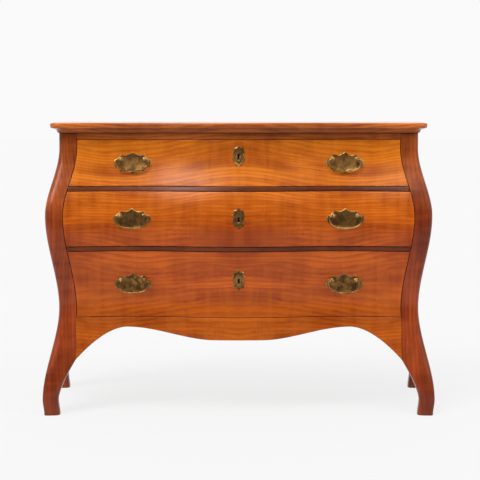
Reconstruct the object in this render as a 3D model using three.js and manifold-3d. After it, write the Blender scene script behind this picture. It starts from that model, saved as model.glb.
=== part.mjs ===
// A bombe chest with three drawers: a serpentine front, swelling sides, and corner posts that run down
// into splayed legs. Millimetres. X runs to the right, Y to the back and Z up. The origin is on the floor,
// under the middle of the chest.
import * as THREE from "three";
import { mergeVertices } from "three/addons/utils/BufferGeometryUtils.js";
import Module from "manifold-3d";

const wasm = await Module();
wasm.setup();

// Driving sizes

const carcass = {
  neckWidth: 1008, // over the corner posts, just under the top
  depth: 452, // back face to the mean line of the front, just under the top
  backFace: 260, // back face behind the origin
  sideWall: 28, // side panel where it is thinnest
  backWall: 10,
  bottomBoard: 12,
  postWidth: 50, // corner post seen from the front
  postDepth: 52, // corner post at the neck, from the mean front line back
  rearPostDepth: 60,
  splay: 20, // how much wider each side is at the back
  bow: 8, // outward bow of each side between its posts
};

const height = {
  apronTop: 272,
  lowerOpening: 190,
  middleOpening: 156,
  upperOpening: 132,
  divider: 12,
  topRail: 18,
  top: 28,
  waistRise: 28, // slimmest place above the top of the apron
  neckDrop: 44, // end of the swell below the top board
  knee: 154, // where a leg leaves the apron
  foot: 45, // widest place of a foot
  bulgeRise: 8, // fullest place above the middle of the middle drawer
};

// How far the outline stands out from the neck, sideways and forwards, at each turn of its curve.
const sideSwell = { toe: 43, foot: 47, waist: 4, bulge: 36 };
const frontSwell = { toe: 36, foot: 40, waist: 4, bulge: 48 };

const serpentine = {
  reach: 17, // the front waves this far either way of its mean line
  hollowInset: 156, // the hollows, with the handles in them, from the posts
};

const leg = {
  footWidth: 44,
  footDepth: 46,
  postRound: 26, // rounding of the outer front corner
  footRound: 15,
  arris: 1.5, // softened corner of a square edge
};

const apron = {
  frontMiddle: 62, // depth below the apron's top at the middle
  sideMiddle: 44,
  arch: 28, // depth over the arch, where the edge is highest
};

const topBoard = {
  overhang: 24,
  cornerRound: 34,
};

const drawer = {
  frontWall: 22, // least thickness of a front
  faceGap: 1.5, // between a front and the frame around it
  boxInset: 10, // side of the box inside the narrowest opening
  sideWall: 12,
  backWall: 10,
  bottom: 6,
  bottomLift: 10, // underside of the bottom above the running edge
  groove: 5,
  sideDrop: 12, // side below the ceiling of its opening
  backDrop: 8, // back below the sides
  rearRoom: 34, // free space between the box and the back panel
};

const runner = { width: 20, thickness: 12, guideHeight: 22, clearance: 1.5 };
const stop = { width: 80, depth: 12, height: 7 };

const handle = {
  plateHalfWidth: 52,
  plateHalfHeight: 31,
  plateThickness: 2,
  postSpacing: 66,
  axisRise: 9, // bail axis above the middle of the plate
  standoff: 14.5, // bail axis in front of the plate
  collarRadius: 6,
  collarThickness: 2,
  neckRadius: 3.2,
  ballRadius: 5.6,
  studRadius: 2.4,
  studClearance: 0.4,
  studEnd: 2, // stud beyond its nut
  nutRadius: 5.5,
  nutThickness: 3.6,
  nutGap: 0.8, // between a nut and the curved inside of the drawer front
  bailRadius: 2.2,
  pivotClearance: 0.5,
  bailHalfSpan: 45,
  bailDrop: 34,
  pivotInset: 4, // tip of a pivot beyond the middle of its ball
};

const escutcheon = {
  halfWidth: 19,
  halfHeight: 31,
  thickness: 2,
  upperRise: 20, // middle of the plate above the middle of its drawer front
  middleRise: 4,
  lowerRise: 14,
};

const keyhole = { radius: 3.6, slotWidth: 4.8, slotDrop: 11 };

const lock = {
  width: 64,
  wall: 2,
  keySpace: 7.4,
  boltThickness: 4.6,
  boltWidth: 24,
  boltLength: 26,
  boltTravel: 8,
  boltClearance: 0.4,
  belowKeyhole: 20, // case below the middle of the keyhole
};

const seat = 0.3; // gap that a piece keeps to a curved neighbour
const overrun = 4; // how far a cutting tool runs past what it cuts
const biteIntoFront = 1.2; // spare metal behind a plate, trimmed off against the drawer front

// Facet counts
const steps = {
  rise: 27, // over the whole height
  front: 18,
  inside: 5,
  side: 7,
  edge: 28,
  corner: 4,
  smallCorner: 2,
  ball: 4,
  turned: 8,
  bail: 24,
  bailSides: 6,
  hole: 8,
};

// Shares of the sizes that they follow
const apronShares = { flat: 0.15, arch: 0.69 };
const kneePower = 1.75;
const legTaperPower = 1.3;
// From the underside of the top board up: share of the overhang cut back, share of the thickness.
const topEdgeShares = [
  [0.78, 0],
  [0.7, 0.12],
  [0.46, 0.26],
  [0.32, 0.42],
  [0.14, 0.5],
  [0.02, 0.6],
  [0, 0.76],
  [0.06, 0.92],
  [0.2, 1],
];
// One quarter of a handle plate's outline: shares of its half width and half height.
const plateQuarterShares = [
  [1, 0],
  [0.93, 0.34],
  [0.74, 0.44],
  [0.63, 0.78],
  [0.38, 0.66],
  [0.2, 0.74],
  [0, 1],
];
const escutcheonQuarterShares = [
  [0.72, 0],
  [1, 0.3],
  [0.7, 0.5],
  [0.74, 0.74],
  [0.34, 0.8],
  [0, 1],
];
// Half a bail, from below its pivot to the middle: shares of the half span and of the drop.
const bailHalfShares = [
  [0.985, -0.1],
  [1, -0.3],
  [0.86, -0.68],
  [0.5, -0.93],
  [0, -1],
];
const bailPivotEndShare = 0.9;
const plateRingShares = [0.5, 1];

// Places worked out from the sizes

const neckHalf = carcass.neckWidth / 2;
const frontLine = carcass.depth - carcass.backFace;
const sideInner = neckHalf - carcass.sideWall;
const postBack = -(frontLine - carcass.postDepth);
const rearPostFront = carcass.backFace - carcass.rearPostDepth;
const backPanelFront = carcass.backFace - carcass.backWall;
const hollowOffset = neckHalf - carcass.postWidth - serpentine.hollowInset;

const lowerFloor = height.apronTop;
const lowerCeiling = lowerFloor + height.lowerOpening;
const middleFloor = lowerCeiling + height.divider;
const middleCeiling = middleFloor + height.middleOpening;
const upperFloor = middleCeiling + height.divider;
const upperCeiling = upperFloor + height.upperOpening;
const caseTop = upperCeiling + height.topRail;
const chestTop = caseTop + height.top;

const waistLevel = height.apronTop + height.waistRise;
const bulgeLevel = (middleFloor + middleCeiling) / 2 + height.bulgeRise;
const neckLevel = caseTop - height.neckDrop;

// The outline of the chest

const ease = (t) => t * t * (3 - 2 * t);
const clamp = (t) => Math.min(1, Math.max(0, t));

// Value at a place along eased steps through the given [place, value] stations.
function along(stations, place) {
  const next = stations.findIndex(([at]) => at >= place);
  if (next === 0) return stations[0][1];
  if (next < 0) return stations[stations.length - 1][1];
  const [from, low] = stations[next - 1];
  const [to, high] = stations[next];
  return low + (high - low) * ease((place - from) / (to - from));
}

const swellStations = (swell) => [
  [0, swell.toe],
  [height.foot, swell.foot],
  [waistLevel, swell.waist],
  [bulgeLevel, swell.bulge],
  [neckLevel, 0],
];
const sideStations = swellStations(sideSwell);
const frontStations = swellStations(frontSwell);

// Half width over the front posts at a level.
const halfWidth = (z) => neckHalf + along(sideStations, z);

// The wave of the front at a distance from the middle.
const wave = (x) => serpentine.reach * Math.cos((Math.PI * x) / hollowOffset);

// Y of the front surface.
const frontY = (x, z) => -(frontLine + along(frontStations, z) + wave(x));

// X of the side surface, which widens and bows between the posts.
function sideX(y, z) {
  const t = clamp((y - postBack) / (rearPostFront - postBack));
  return halfWidth(z) + carcass.splay * ease(t) + (carcass.bow * (1 - Math.cos(2 * Math.PI * t))) / 2;
}

// Inner face of a front post at a level: it follows the swell beside the drawers, and is upright beside
// the apron.
const postInner = (z) => halfWidth(Math.max(z, height.apronTop)) - carcass.postWidth;

// Evenly spaced values from one to another.
const spread = (low, high, count) =>
  Array.from({ length: count + 1 }, (_, i) => low + ((high - low) * i) / count);

// Evenly spaced levels from one height to another.
const levels = (low, high) => spread(low, high, Math.ceil((steps.rise * (high - low)) / chestTop));

// Levels through all the given heights, in order.
const levelsThrough = (...heights) =>
  heights.slice(1).reduce((all, high, i) => [...all, ...levels(heights[i], high).slice(1)], [heights[0]]);

// Solids

// A closed skin over rings of points, each ring counterclockwise seen from above and the next one higher.
function loft(rings) {
  const count = rings[0].length;
  const position = rings.flat().flat();
  const index = [];
  for (let i = 0; i + 1 < rings.length; i++) {
    for (let j = 0; j < count; j++) {
      const a = i * count + j;
      const b = i * count + ((j + 1) % count);
      index.push(a, b, b + count, a, b + count, a + count);
    }
  }
  const last = (rings.length - 1) * count;
  const cap = (ring) =>
    THREE.ShapeUtils.triangulateShape(
      ring.map(([x, y]) => new THREE.Vector2(x, y)),
      [],
    );
  cap(rings[0]).forEach(([a, b, c]) => index.push(a, c, b));
  cap(rings[rings.length - 1]).forEach(([a, b, c]) => index.push(last + a, last + b, last + c));
  const geometry = new THREE.BufferGeometry();
  geometry.setAttribute("position", new THREE.Float32BufferAttribute(position, 3));
  geometry.setIndex(index);
  return geometry;
}

const shapeOf = (points) => new THREE.Shape(points.map(([a, b]) => new THREE.Vector2(a, b)));

const extruded = (points, length) =>
  new THREE.ExtrudeGeometry(shapeOf(points), { depth: length, bevelEnabled: false });

// A plan outline of [x, y] points, raised between two levels.
const raised = (points, low, high) => extruded(points, high - low).translate(0, 0, low);

// An outline of [x, z] points, run from one Y to another.
const runBack = (points, front, back) =>
  extruded(points, back - front)
    .rotateX(Math.PI / 2)
    .translate(0, back, 0);

// An outline of [y, z] points, run from one X to another.
function runAcross(points, left, right) {
  const turn = new THREE.Matrix4().makeBasis(
    new THREE.Vector3(0, 1, 0),
    new THREE.Vector3(0, 0, 1),
    new THREE.Vector3(1, 0, 0),
  );
  return extruded(points, right - left)
    .applyMatrix4(turn)
    .translate(left, 0, 0);
}

function block([left, right], [front, back], [low, high]) {
  const box = new THREE.BoxGeometry(right - left, back - front, high - low);
  return box.translate((left + right) / 2, (front + back) / 2, (low + high) / 2);
}

// A rod along Y between two places.
function rodAlongY(radius, x, z, front, back) {
  const rod = new THREE.CylinderGeometry(radius, radius, back - front, steps.hole);
  return rod.translate(x, (front + back) / 2, z);
}

function solidOf(geometry) {
  const bare = new THREE.BufferGeometry();
  bare.setAttribute("position", geometry.getAttribute("position"));
  bare.setIndex(geometry.index);
  const merged = mergeVertices(bare);
  return new wasm.Manifold(
    new wasm.Mesh({
      numProp: 3,
      vertProperties: merged.attributes.position.array,
      triVerts: new Uint32Array(merged.index.array),
    }),
  );
}

function geometryOf(solid) {
  const mesh = solid.getMesh();
  const geometry = new THREE.BufferGeometry();
  geometry.setAttribute("position", new THREE.BufferAttribute(mesh.vertProperties, 3));
  geometry.setIndex(new THREE.BufferAttribute(mesh.triVerts, 1));
  return geometry;
}

const cut = (body, ...tools) =>
  geometryOf(tools.reduce((left, tool) => left.subtract(solidOf(tool)), solidOf(body)));

const joined = (body, ...others) =>
  geometryOf(others.reduce((all, other) => all.add(solidOf(other)), solidOf(body)));

// A section whose corners are rounded by the given radii, each in the given number of steps.
function roundedSection(corners, radii, counts) {
  const points = [];
  corners.forEach(([x, y], i) => {
    const corner = new THREE.Vector2(x, y);
    const [before, after] = [corners.at(i - 1), corners[(i + 1) % corners.length]].map((other) =>
      new THREE.Vector2(...other).sub(corner).setLength(radii[i]).add(corner),
    );
    const bend = new THREE.QuadraticBezierCurve(before, corner, after);
    bend.getPoints(counts[i]).forEach((p) => points.push([p.x, p.y]));
  });
  return points;
}

// Materials

const wood = (color, roughness) => new THREE.MeshStandardMaterial({ color, roughness, metalness: 0 });
const materials = {
  veneer: wood(0xb4622a, 0.32),
  polishedWood: wood(0x8a4420, 0.34),
  drawerLining: wood(0xc69a66, 0.6),
  frameWood: wood(0xa8774a, 0.7),
  bronze: new THREE.MeshStandardMaterial({ color: 0x6b5230, roughness: 0.42, metalness: 0.9 }),
  iron: new THREE.MeshStandardMaterial({ color: 0x5c5a56, roughness: 0.5, metalness: 0.85 }),
};

const chest = new THREE.Group();

function add(name, geometry, material, group = chest) {
  const mesh = new THREE.Mesh(geometry, material);
  mesh.name = name;
  group.add(mesh);
  return mesh;
}

// The same geometry on both sides of the middle; it is made on the right.
function addPair(leftName, rightName, geometry, material, group = chest) {
  add(rightName, geometry, material, group);
  add(leftName, geometry, material, group).scale.x = -1;
}

// Legs and posts

const kneeWidth = halfWidth(height.knee) - postInner(height.knee);
const legLevels = levelsThrough(
  0,
  height.foot,
  height.knee,
  height.apronTop,
  lowerCeiling,
  middleFloor,
  middleCeiling,
  upperFloor,
  upperCeiling,
  caseTop,
);

// Share of the way from the foot up to the knee.
const risen = (z) => clamp((z - height.foot) / (height.knee - height.foot));

const tapered = (z, foot, knee) => foot + (knee - foot) * risen(z) ** legTaperPower;

function legRing(z, corners, postRadii, counts) {
  const radii = postRadii.map((radius) => leg.footRound + (radius - leg.footRound) * risen(z));
  return roundedSection(corners, radii, counts).map(([x, y]) => [x, y, z]);
}

function frontLegRing(z) {
  const outer = halfWidth(z);
  const inner = z < height.knee ? outer - tapered(z, leg.footWidth, kneeWidth) : postInner(z);
  const kneeDepth = postBack - frontY(halfWidth(height.knee), height.knee);
  const front = frontY(outer, z);
  const back = z < height.knee ? front + tapered(z, leg.footDepth, kneeDepth) : postBack;
  const corners = [
    [inner, frontY(inner, z)],
    [outer, front],
    [outer, back],
    [inner, back],
  ];
  const radii = [leg.arris, leg.postRound, leg.arris, leg.arris];
  const counts = [steps.smallCorner, steps.corner, steps.smallCorner, steps.smallCorner];
  return legRing(z, corners, radii, counts);
}

function rearLegRing(z) {
  const outer = halfWidth(z) + carcass.splay;
  const kneeOuter = halfWidth(height.knee) + carcass.splay;
  const inner = z < height.knee ? outer - tapered(z, leg.footWidth, kneeOuter - sideInner) : sideInner;
  const deep = z < height.knee ? tapered(z, leg.footDepth, carcass.rearPostDepth) : carcass.rearPostDepth;
  const front = carcass.backFace - deep;
  const corners = [
    [inner, front],
    [outer, front],
    [outer, carcass.backFace],
    [inner, carcass.backFace],
  ];
  const radii = [leg.arris, leg.arris, leg.arris, leg.arris];
  const counts = radii.map(() => steps.smallCorner);
  return legRing(z, corners, radii, counts);
}

addPair("front_left_leg", "front_right_leg", loft(legLevels.map(frontLegRing)), materials.veneer);
addPair("rear_left_leg", "rear_right_leg", loft(legLevels.map(rearLegRing)), materials.veneer);

// The shaped lower edge of the front and the sides

// Height of the edge at a distance from its middle: level, then up to the arch, then down to the knee.
function edgeHeight(distance, halfLength, middleDepth) {
  const share = Math.abs(distance) / halfLength;
  const middle = height.apronTop - middleDepth;
  const arch = height.apronTop - apron.arch;
  if (share < apronShares.arch) {
    const t = clamp((share - apronShares.flat) / (apronShares.arch - apronShares.flat));
    return middle + (arch - middle) * ease(t);
  }
  const fall = clamp((share - apronShares.arch) / (1 - apronShares.arch));
  return arch - (arch - height.knee) * fall ** kneePower;
}

// Everything below the edge, as an outline around the given middle.
function belowEdge(middleAt, halfLength, middleDepth) {
  const places = spread(-halfLength, halfLength, steps.edge);
  const edge = places.map((s) => [middleAt + s, edgeHeight(s, halfLength, middleDepth)]);
  const low = height.knee - overrun;
  const left = middleAt - halfLength - overrun;
  const right = middleAt + halfLength + overrun;
  return [[left, low], [right, low], [right, height.knee], ...edge.reverse(), [left, height.knee]];
}

// Side panels

function sideRing(z) {
  const outer = spread(postBack, rearPostFront, steps.side).map((y) => [sideX(y, z), y, z]);
  return [...outer, [sideInner, rearPostFront, z], [sideInner, postBack, z]];
}

const sideMiddle = (postBack + rearPostFront) / 2;
const sideHalf = (rearPostFront - postBack) / 2;
const sideEdgeTool = runAcross(
  belowEdge(sideMiddle, sideHalf, apron.sideMiddle),
  sideInner - overrun,
  halfWidth(bulgeLevel) + carcass.splay + carcass.bow + overrun,
);
const sideLevels = levelsThrough(height.knee, height.apronTop, lowerCeiling, upperFloor, caseTop);
const sidePanel = cut(loft(sideLevels.map(sideRing)), sideEdgeTool);
addPair("left_side_panel", "right_side_panel", sidePanel, materials.veneer);

// Back panel and top board

add(
  "back_panel",
  block([-sideInner, sideInner], [backPanelFront, carcass.backFace], [height.apronTop - apron.arch, caseTop]),
  materials.frameWood,
);

// Right half of the top board's outline, from the middle of the front to the back corner.
function topHalfOutline(overhang) {
  const outer = neckHalf + overhang;
  const round = topBoard.cornerRound;
  const edgeY = (x) => frontY(x, caseTop) - overhang;
  const front = spread(0, outer - round, steps.front / 2).map((x) => [x, edgeY(x)]);
  const corner = new THREE.QuadraticBezierCurve(
    new THREE.Vector2(...front.pop()),
    new THREE.Vector2(outer, edgeY(outer)),
    new THREE.Vector2(outer, edgeY(outer) + round),
  );
  const turn = corner.getPoints(steps.corner).map((p) => [p.x, p.y]);
  const side = spread(edgeY(outer) + round, carcass.backFace, steps.side).slice(1);
  return [...front, ...turn, ...side.map((y) => [sideX(y, caseTop) + overhang, y])];
}

function topRing([cutBack, rise]) {
  const right = topHalfOutline(topBoard.overhang * (1 - cutBack));
  const left = right.slice(1).map(([x, y]) => [-x, y]);
  return [...left.reverse(), ...right].map(([x, y]) => [x, y, caseTop + height.top * rise]);
}

add("top_board", loft(topEdgeShares.map(topRing)), materials.veneer);

// Rails and dividers across the front

// A board between the posts, its front edge on the surface of the front.
function crossBoard(low, high) {
  const ring = (z) => {
    const end = Math.min(postInner(low), postInner(high), postInner((low + high) / 2)) - seat;
    const front = spread(-end, end, steps.front).map((x) => [x, frontY(x, z), z]);
    return [...front, [end, postBack, z], [-end, postBack, z]];
  };
  return loft([ring(low), ring(high)]);
}

// Inner face of a drawer front or the apron: it keeps the wave and stands upright.
const boxHalf = neckHalf - carcass.postWidth - drawer.boxInset;
const insidePlaces = [
  ...spread(-boxHalf, -stop.width / 2, steps.inside),
  0,
  ...spread(stop.width / 2, boxHalf, steps.inside),
];
const insideStations = (end) => [-end, ...insidePlaces, end];
const insideY = (x, setback) => -(frontLine + setback - drawer.frontWall + wave(x));

function leastSwell(low, high) {
  return Math.min(...levels(low, high).map((z) => along(frontStations, z)));
}

const lowerSetback = leastSwell(lowerFloor, lowerCeiling);

function apronRing(z) {
  const end = postInner(z) - seat;
  const front = spread(-end, end, steps.front).map((x) => [x, frontY(x, z), z]);
  const back = insideStations(end).map((x) => [x, insideY(x, lowerSetback), z]);
  return [...front, ...back.reverse()];
}

const frontHalf = postInner(height.apronTop);
const apronTool = runBack(
  belowEdge(0, frontHalf, apron.frontMiddle),
  frontY(0, height.foot) - carcass.postDepth,
  postBack,
);
const apronBlock = loft(levels(height.knee, height.apronTop).map(apronRing));
add("front_apron", cut(apronBlock, apronTool), materials.veneer);

const apronBack = insideStations(frontHalf - seat).map((x) => [x, insideY(x, lowerSetback) + seat]);
add(
  "bottom_board",
  raised(
    [
      ...apronBack,
      [frontHalf - seat, postBack],
      [sideInner, postBack],
      [sideInner, backPanelFront],
      [-sideInner, backPanelFront],
      [-sideInner, postBack],
      [-(frontHalf - seat), postBack],
    ],
    height.apronTop - carcass.bottomBoard,
    height.apronTop,
  ),
  materials.frameWood,
);

// Drawers

const boxBack = backPanelFront - drawer.rearRoom;
const lockDepth = lock.wall + lock.keySpace + lock.boltThickness + lock.wall;

const openings = [
  { name: "upper", floor: upperFloor, ceiling: upperCeiling, lockRise: escutcheon.upperRise },
  { name: "middle", floor: middleFloor, ceiling: middleCeiling, lockRise: escutcheon.middleRise },
  { name: "lower", floor: lowerFloor, ceiling: lowerCeiling, lockRise: escutcheon.lowerRise },
];
openings.forEach((opening) => {
  opening.setback = leastSwell(opening.floor, opening.ceiling);
  opening.middle = (opening.floor + opening.ceiling) / 2;
  opening.keyLevel = opening.middle + opening.lockRise;
  opening.boltFront = insideY(0, opening.setback) - lock.wall - lock.boltThickness;
});

function frontRing(z, setback) {
  const end = postInner(z) - drawer.faceGap;
  const front = spread(-end, end, steps.front).map((x) => [x, frontY(x, z), z]);
  const back = insideStations(end).map((x) => [x, insideY(x, setback), z]);
  return [...front, ...back.reverse()];
}

// The keyhole, a round hole over a slot, from one Y to another.
function keyholeTool(level, front, back) {
  const slot = block(
    [-keyhole.slotWidth / 2, keyhole.slotWidth / 2],
    [front, back],
    [level - keyhole.slotDrop, level],
  );
  return joined(rodAlongY(keyhole.radius, 0, level, front, back), slot);
}

// Room for the bolt of a lock, seen from above.
const boltRoom = (opening, clearance) => [
  [-lock.boltWidth / 2 - clearance, lock.boltWidth / 2 + clearance],
  [opening.boltFront - clearance, opening.boltFront + lock.boltThickness + clearance],
];

function handleStudTools(opening, front, back) {
  const level = opening.middle + handle.axisRise;
  const out = handle.postSpacing / 2;
  const places = [-1, 1].flatMap((side) =>
    [-out, out].map((offset) => side * hollowOffset + offset),
  );
  const radius = handle.studRadius + handle.studClearance;
  return places.map((x) => rodAlongY(radius, x, level, front, back));
}

// The bottom board, with the given room around it: it slides in grooves of the sides and the front.
function drawerBottom(opening, room) {
  const half = boxHalf - drawer.sideWall + drawer.groove + room;
  const inside = insidePlaces.filter((x) => Math.abs(x) < half);
  const front = [-half, ...inside, half].map((x) => [
    x,
    insideY(x, opening.setback) - drawer.groove - room,
  ]);
  const low = opening.floor + drawer.bottomLift - room;
  const high = opening.floor + drawer.bottomLift + drawer.bottom + room;
  return raised([...front, [half, boxBack + room], [-half, boxBack + room]], low, high);
}

function addDrawer(opening) {
  const { name, floor, ceiling, setback } = opening;
  const group = new THREE.Group();
  group.name = name + "_drawer";
  chest.add(group);
  const faceLevels = levels(floor + drawer.faceGap, ceiling - drawer.faceGap);
  const blank = loft(faceLevels.map((z) => frontRing(z, setback)));
  const inside = insideY(0, setback);
  const reach = frontY(0, bulgeLevel) - overrun;
  const lockTop = ceiling - drawer.faceGap;
  const lockBottom = opening.keyLevel - lock.belowKeyhole;
  const lockMortise = block(
    [-lock.width / 2 - seat, lock.width / 2 + seat],
    [inside - lockDepth - seat, inside + serpentine.reach],
    [lockBottom - seat, lockTop + overrun],
  );
  const front = cut(
    blank,
    drawerBottom(opening, seat),
    lockMortise,
    keyholeTool(opening.keyLevel, reach, inside),
    ...handleStudTools(opening, reach, postBack),
  );
  add(name + "_drawer_front", front, materials.veneer, group);

  const sideTop = ceiling - drawer.sideDrop;
  const beyond = boxHalf + overrun;
  const insideLine = [-beyond, ...insidePlaces, beyond].map((x) => [x, insideY(x, setback) + seat]);
  const aheadOutline = [[-beyond, reach], [beyond, reach], ...insideLine.reverse()];
  const ahead = raised(aheadOutline, floor, ceiling);
  const sideBoard = block(
    [boxHalf - drawer.sideWall, boxHalf],
    [inside, boxBack],
    [floor + seat, sideTop],
  );
  const side = cut(sideBoard, ahead, drawerBottom(opening, seat));
  addPair(name + "_drawer_left_side", name + "_drawer_right_side", side, materials.drawerLining, group);
  const boxInner = boxHalf - drawer.sideWall - seat;
  add(
    name + "_drawer_back",
    block(
      [-boxInner, boxInner],
      [boxBack - drawer.backWall, boxBack],
      [floor + drawer.bottomLift + drawer.bottom + seat, sideTop - drawer.backDrop],
    ),
    materials.drawerLining,
    group,
  );
  add(name + "_drawer_bottom", drawerBottom(opening, 0), materials.drawerLining, group);

  const caseBlock = block(
    [-lock.width / 2, lock.width / 2],
    [inside - lockDepth, inside],
    [lockBottom, lockTop],
  );
  const [boltX, boltY] = boltRoom(opening, lock.boltClearance);
  const boltBottom = lockTop - lock.boltLength;
  const boltSlot = block(boltX, boltY, [boltBottom - seat, lockTop + overrun]);
  const keyway = keyholeTool(
    opening.keyLevel,
    inside - lockDepth - overrun,
    inside - lockDepth + lock.keySpace,
  );
  add(name + "_lock_case", cut(caseBlock, boltSlot, keyway), materials.iron, group);
  const [width, thickness] = boltRoom(opening, 0);
  add(name + "_lock_bolt", block(width, thickness, [boltBottom, lockTop]), materials.iron, group);

  addHandles(opening, group, blank);
  addEscutcheon(opening, group, blank);
}

// Handles and keyhole plates

// A whole outline from one quarter of it, counterclockwise seen from the front.
function fourQuarters(quarter, halfWide, halfHigh) {
  const first = quarter.map(([a, b]) => [a * halfWide, b * halfHigh]);
  const second = first.slice(0, -1).map(([a, b]) => [-a, b]);
  const upper = [...first, ...second.reverse()];
  const lower = upper.slice(1, -1).map(([a, b]) => [a, -b]);
  return [...upper, ...lower.reverse()];
}

// A plate with the given outline that lies on the front, too thick until it is trimmed against the front.
function roughPlate(outline, middleX, middleZ, thickness) {
  const face = (lift) => [
    [middleX, frontY(middleX, middleZ) - lift, middleZ],
    ...plateRingShares.flatMap((share) =>
      outline.map(([a, b]) => {
        const [x, z] = [middleX + a * share, middleZ + b * share];
        return [x, frontY(x, z) - lift, z];
      }),
    ),
  ];
  const count = outline.length;
  const index = [];
  const around = (visit) => outline.forEach((_, j) => visit(j, (j + 1) % count));
  const side = (start, flip) => {
    const turned = (a, b, c) => (flip ? index.push(a, c, b) : index.push(a, b, c));
    around((j, k) => {
      turned(start, start + 1 + j, start + 1 + k);
      plateRingShares.slice(1).forEach((_, ring) => {
        const low = start + 1 + ring * count;
        const high = low + count;
        turned(low + j, high + j, high + k);
        turned(low + j, high + k, low + k);
      });
    });
  };
  const rim = 1 + (plateRingShares.length - 1) * count;
  const back = 1 + plateRingShares.length * count;
  side(0, false);
  side(back, true);
  around((j, k) => {
    index.push(rim + j, back + rim + k, rim + k);
    index.push(rim + j, back + rim + j, back + rim + k);
  });
  const geometry = new THREE.BufferGeometry();
  const position = [...face(thickness + seat), ...face(-biteIntoFront)].flat();
  geometry.setAttribute("position", new THREE.Float32BufferAttribute(position, 3));
  geometry.setIndex(index);
  return geometry;
}

const trimmedToFront = (geometry, blank) => cut(geometry, blank.clone().translate(0, -seat, 0));

// A turned shape along Y, from its front end to its back end, by [radius, y] points.
const turnedAt = (x, z, profile) =>
  new THREE.LatheGeometry(
    profile.map(([radius, y]) => new THREE.Vector2(radius, y)),
    steps.turned,
  ).translate(x, 0, z);

// The part of a handle post in front of the plate: a ball that holds the bail, on a neck and a collar.
function postHead(x, level, axisY, plateY) {
  const radius = handle.ballRadius;
  const ballEnd = Math.PI - Math.asin(handle.neckRadius / radius);
  const collarFront = plateY - handle.collarThickness;
  const collarBack = plateY + handle.plateThickness + biteIntoFront;
  return turnedAt(x, level, [
    ...spread(0, ballEnd, steps.ball).map((a) => [radius * Math.sin(a), axisY - radius * Math.cos(a)]),
    [handle.neckRadius, collarFront],
    [handle.collarRadius, collarFront],
    [handle.collarRadius, collarBack],
    [0, collarBack],
  ]);
}

// The threaded stud of a handle post, through the drawer front to its nut inside the drawer.
function postStud(x, level, plateY, insideFace) {
  const nutFront = insideFace + handle.nutGap;
  const nutBack = nutFront + handle.nutThickness;
  const studBack = nutBack + handle.studEnd;
  return turnedAt(x, level, [
    [0, plateY],
    [handle.studRadius, plateY],
    [handle.studRadius, nutFront],
    [handle.nutRadius, nutFront],
    [handle.nutRadius, nutBack],
    [handle.studRadius, nutBack],
    [handle.studRadius, studBack],
    [0, studBack],
  ]);
}

function bail(middleX, axisY, level) {
  const half = handle.bailHalfSpan;
  const pivotTip = handle.postSpacing / 2 - handle.pivotInset;
  const right = [
    [pivotTip, 0],
    [handle.postSpacing / 2 + handle.ballRadius, 0],
    [half * bailPivotEndShare, 0],
    ...bailHalfShares.map(([a, b]) => [a * half, b * handle.bailDrop]),
  ];
  const left = right.slice(0, -1).map(([a, b]) => [-a, b]);
  const points = [...left, ...right.reverse()];
  const path = new THREE.CatmullRomCurve3(points.map(([a, b]) => new THREE.Vector3(a, 0, b)));
  const section = new THREE.Shape(
    spread(0, 2 * Math.PI, steps.bailSides)
      .slice(1)
      .map((a) => new THREE.Vector2(Math.cos(a), Math.sin(a)).multiplyScalar(handle.bailRadius)),
  );
  const tube = new THREE.ExtrudeGeometry(section, { steps: steps.bail, extrudePath: path });
  return tube.translate(middleX, axisY, level);
}

function addHandles(opening, group, blank) {
  const middleX = hollowOffset;
  const level = opening.middle + handle.axisRise;
  const places = [-1, 1].map((side) => middleX + (side * handle.postSpacing) / 2);
  const plateY = frontY(places[0], level) - handle.plateThickness - seat;
  const axisY = plateY - handle.standoff;
  const outline = fourQuarters(plateQuarterShares, handle.plateHalfWidth, handle.plateHalfHeight);
  const plate = roughPlate(outline, middleX, opening.middle, handle.plateThickness);
  const heads = places.map((x) => postHead(x, level, axisY, plateY));
  const trimmed = trimmedToFront(joined(plate, ...heads), blank);
  const insideFace = insideY(places[0], opening.setback);
  const studs = places.map((x) => postStud(x, level, plateY, insideFace));
  const pivotRadius = handle.bailRadius + handle.pivotClearance;
  const boreLength = handle.postSpacing + 2 * (handle.ballRadius + overrun);
  const bore = new THREE.CylinderGeometry(pivotRadius, pivotRadius, boreLength, steps.hole)
    .rotateZ(Math.PI / 2)
    .translate(middleX, axisY, level);
  const casting = cut(joined(trimmed, ...studs), bore);
  const plateNames = ["left", "right"].map((side) => `${opening.name}_${side}_handle_plate`);
  addPair(...plateNames, casting, materials.bronze, group);
  const bailNames = ["left", "right"].map((side) => `${opening.name}_${side}_bail`);
  addPair(...bailNames, bail(middleX, axisY, level), materials.bronze, group);
}

function addEscutcheon(opening, group, blank) {
  const outline = fourQuarters(escutcheonQuarterShares, escutcheon.halfWidth, escutcheon.halfHeight);
  const plate = roughPlate(outline, 0, opening.keyLevel, escutcheon.thickness);
  const reach = frontY(0, bulgeLevel) - escutcheon.thickness - overrun;
  const hole = keyholeTool(opening.keyLevel, reach, insideY(0, opening.setback));
  const pierced = cut(trimmedToFront(plate, blank), hole);
  add(opening.name + "_escutcheon", pierced, materials.bronze, group);
}

openings.forEach(addDrawer);

// The rail under the top and the dividers, each with a mortise for the bolt of the lock below it

function boltMortise(opening) {
  const [x, y] = boltRoom(opening, lock.boltClearance + seat);
  const deep = lock.boltTravel + drawer.faceGap;
  return block(x, y, [opening.ceiling - overrun, opening.ceiling + deep]);
}

const [upper, middle, lower] = openings;
add(
  "top_front_rail",
  cut(crossBoard(upperCeiling, caseTop), boltMortise(upper)),
  materials.polishedWood,
);
add(
  "upper_divider",
  cut(crossBoard(middleCeiling, upperFloor), boltMortise(middle)),
  materials.polishedWood,
);
add(
  "lower_divider",
  cut(crossBoard(lowerCeiling, middleFloor), boltMortise(lower)),
  materials.polishedWood,
);

// Runners, guides and stops inside the carcass

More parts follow.
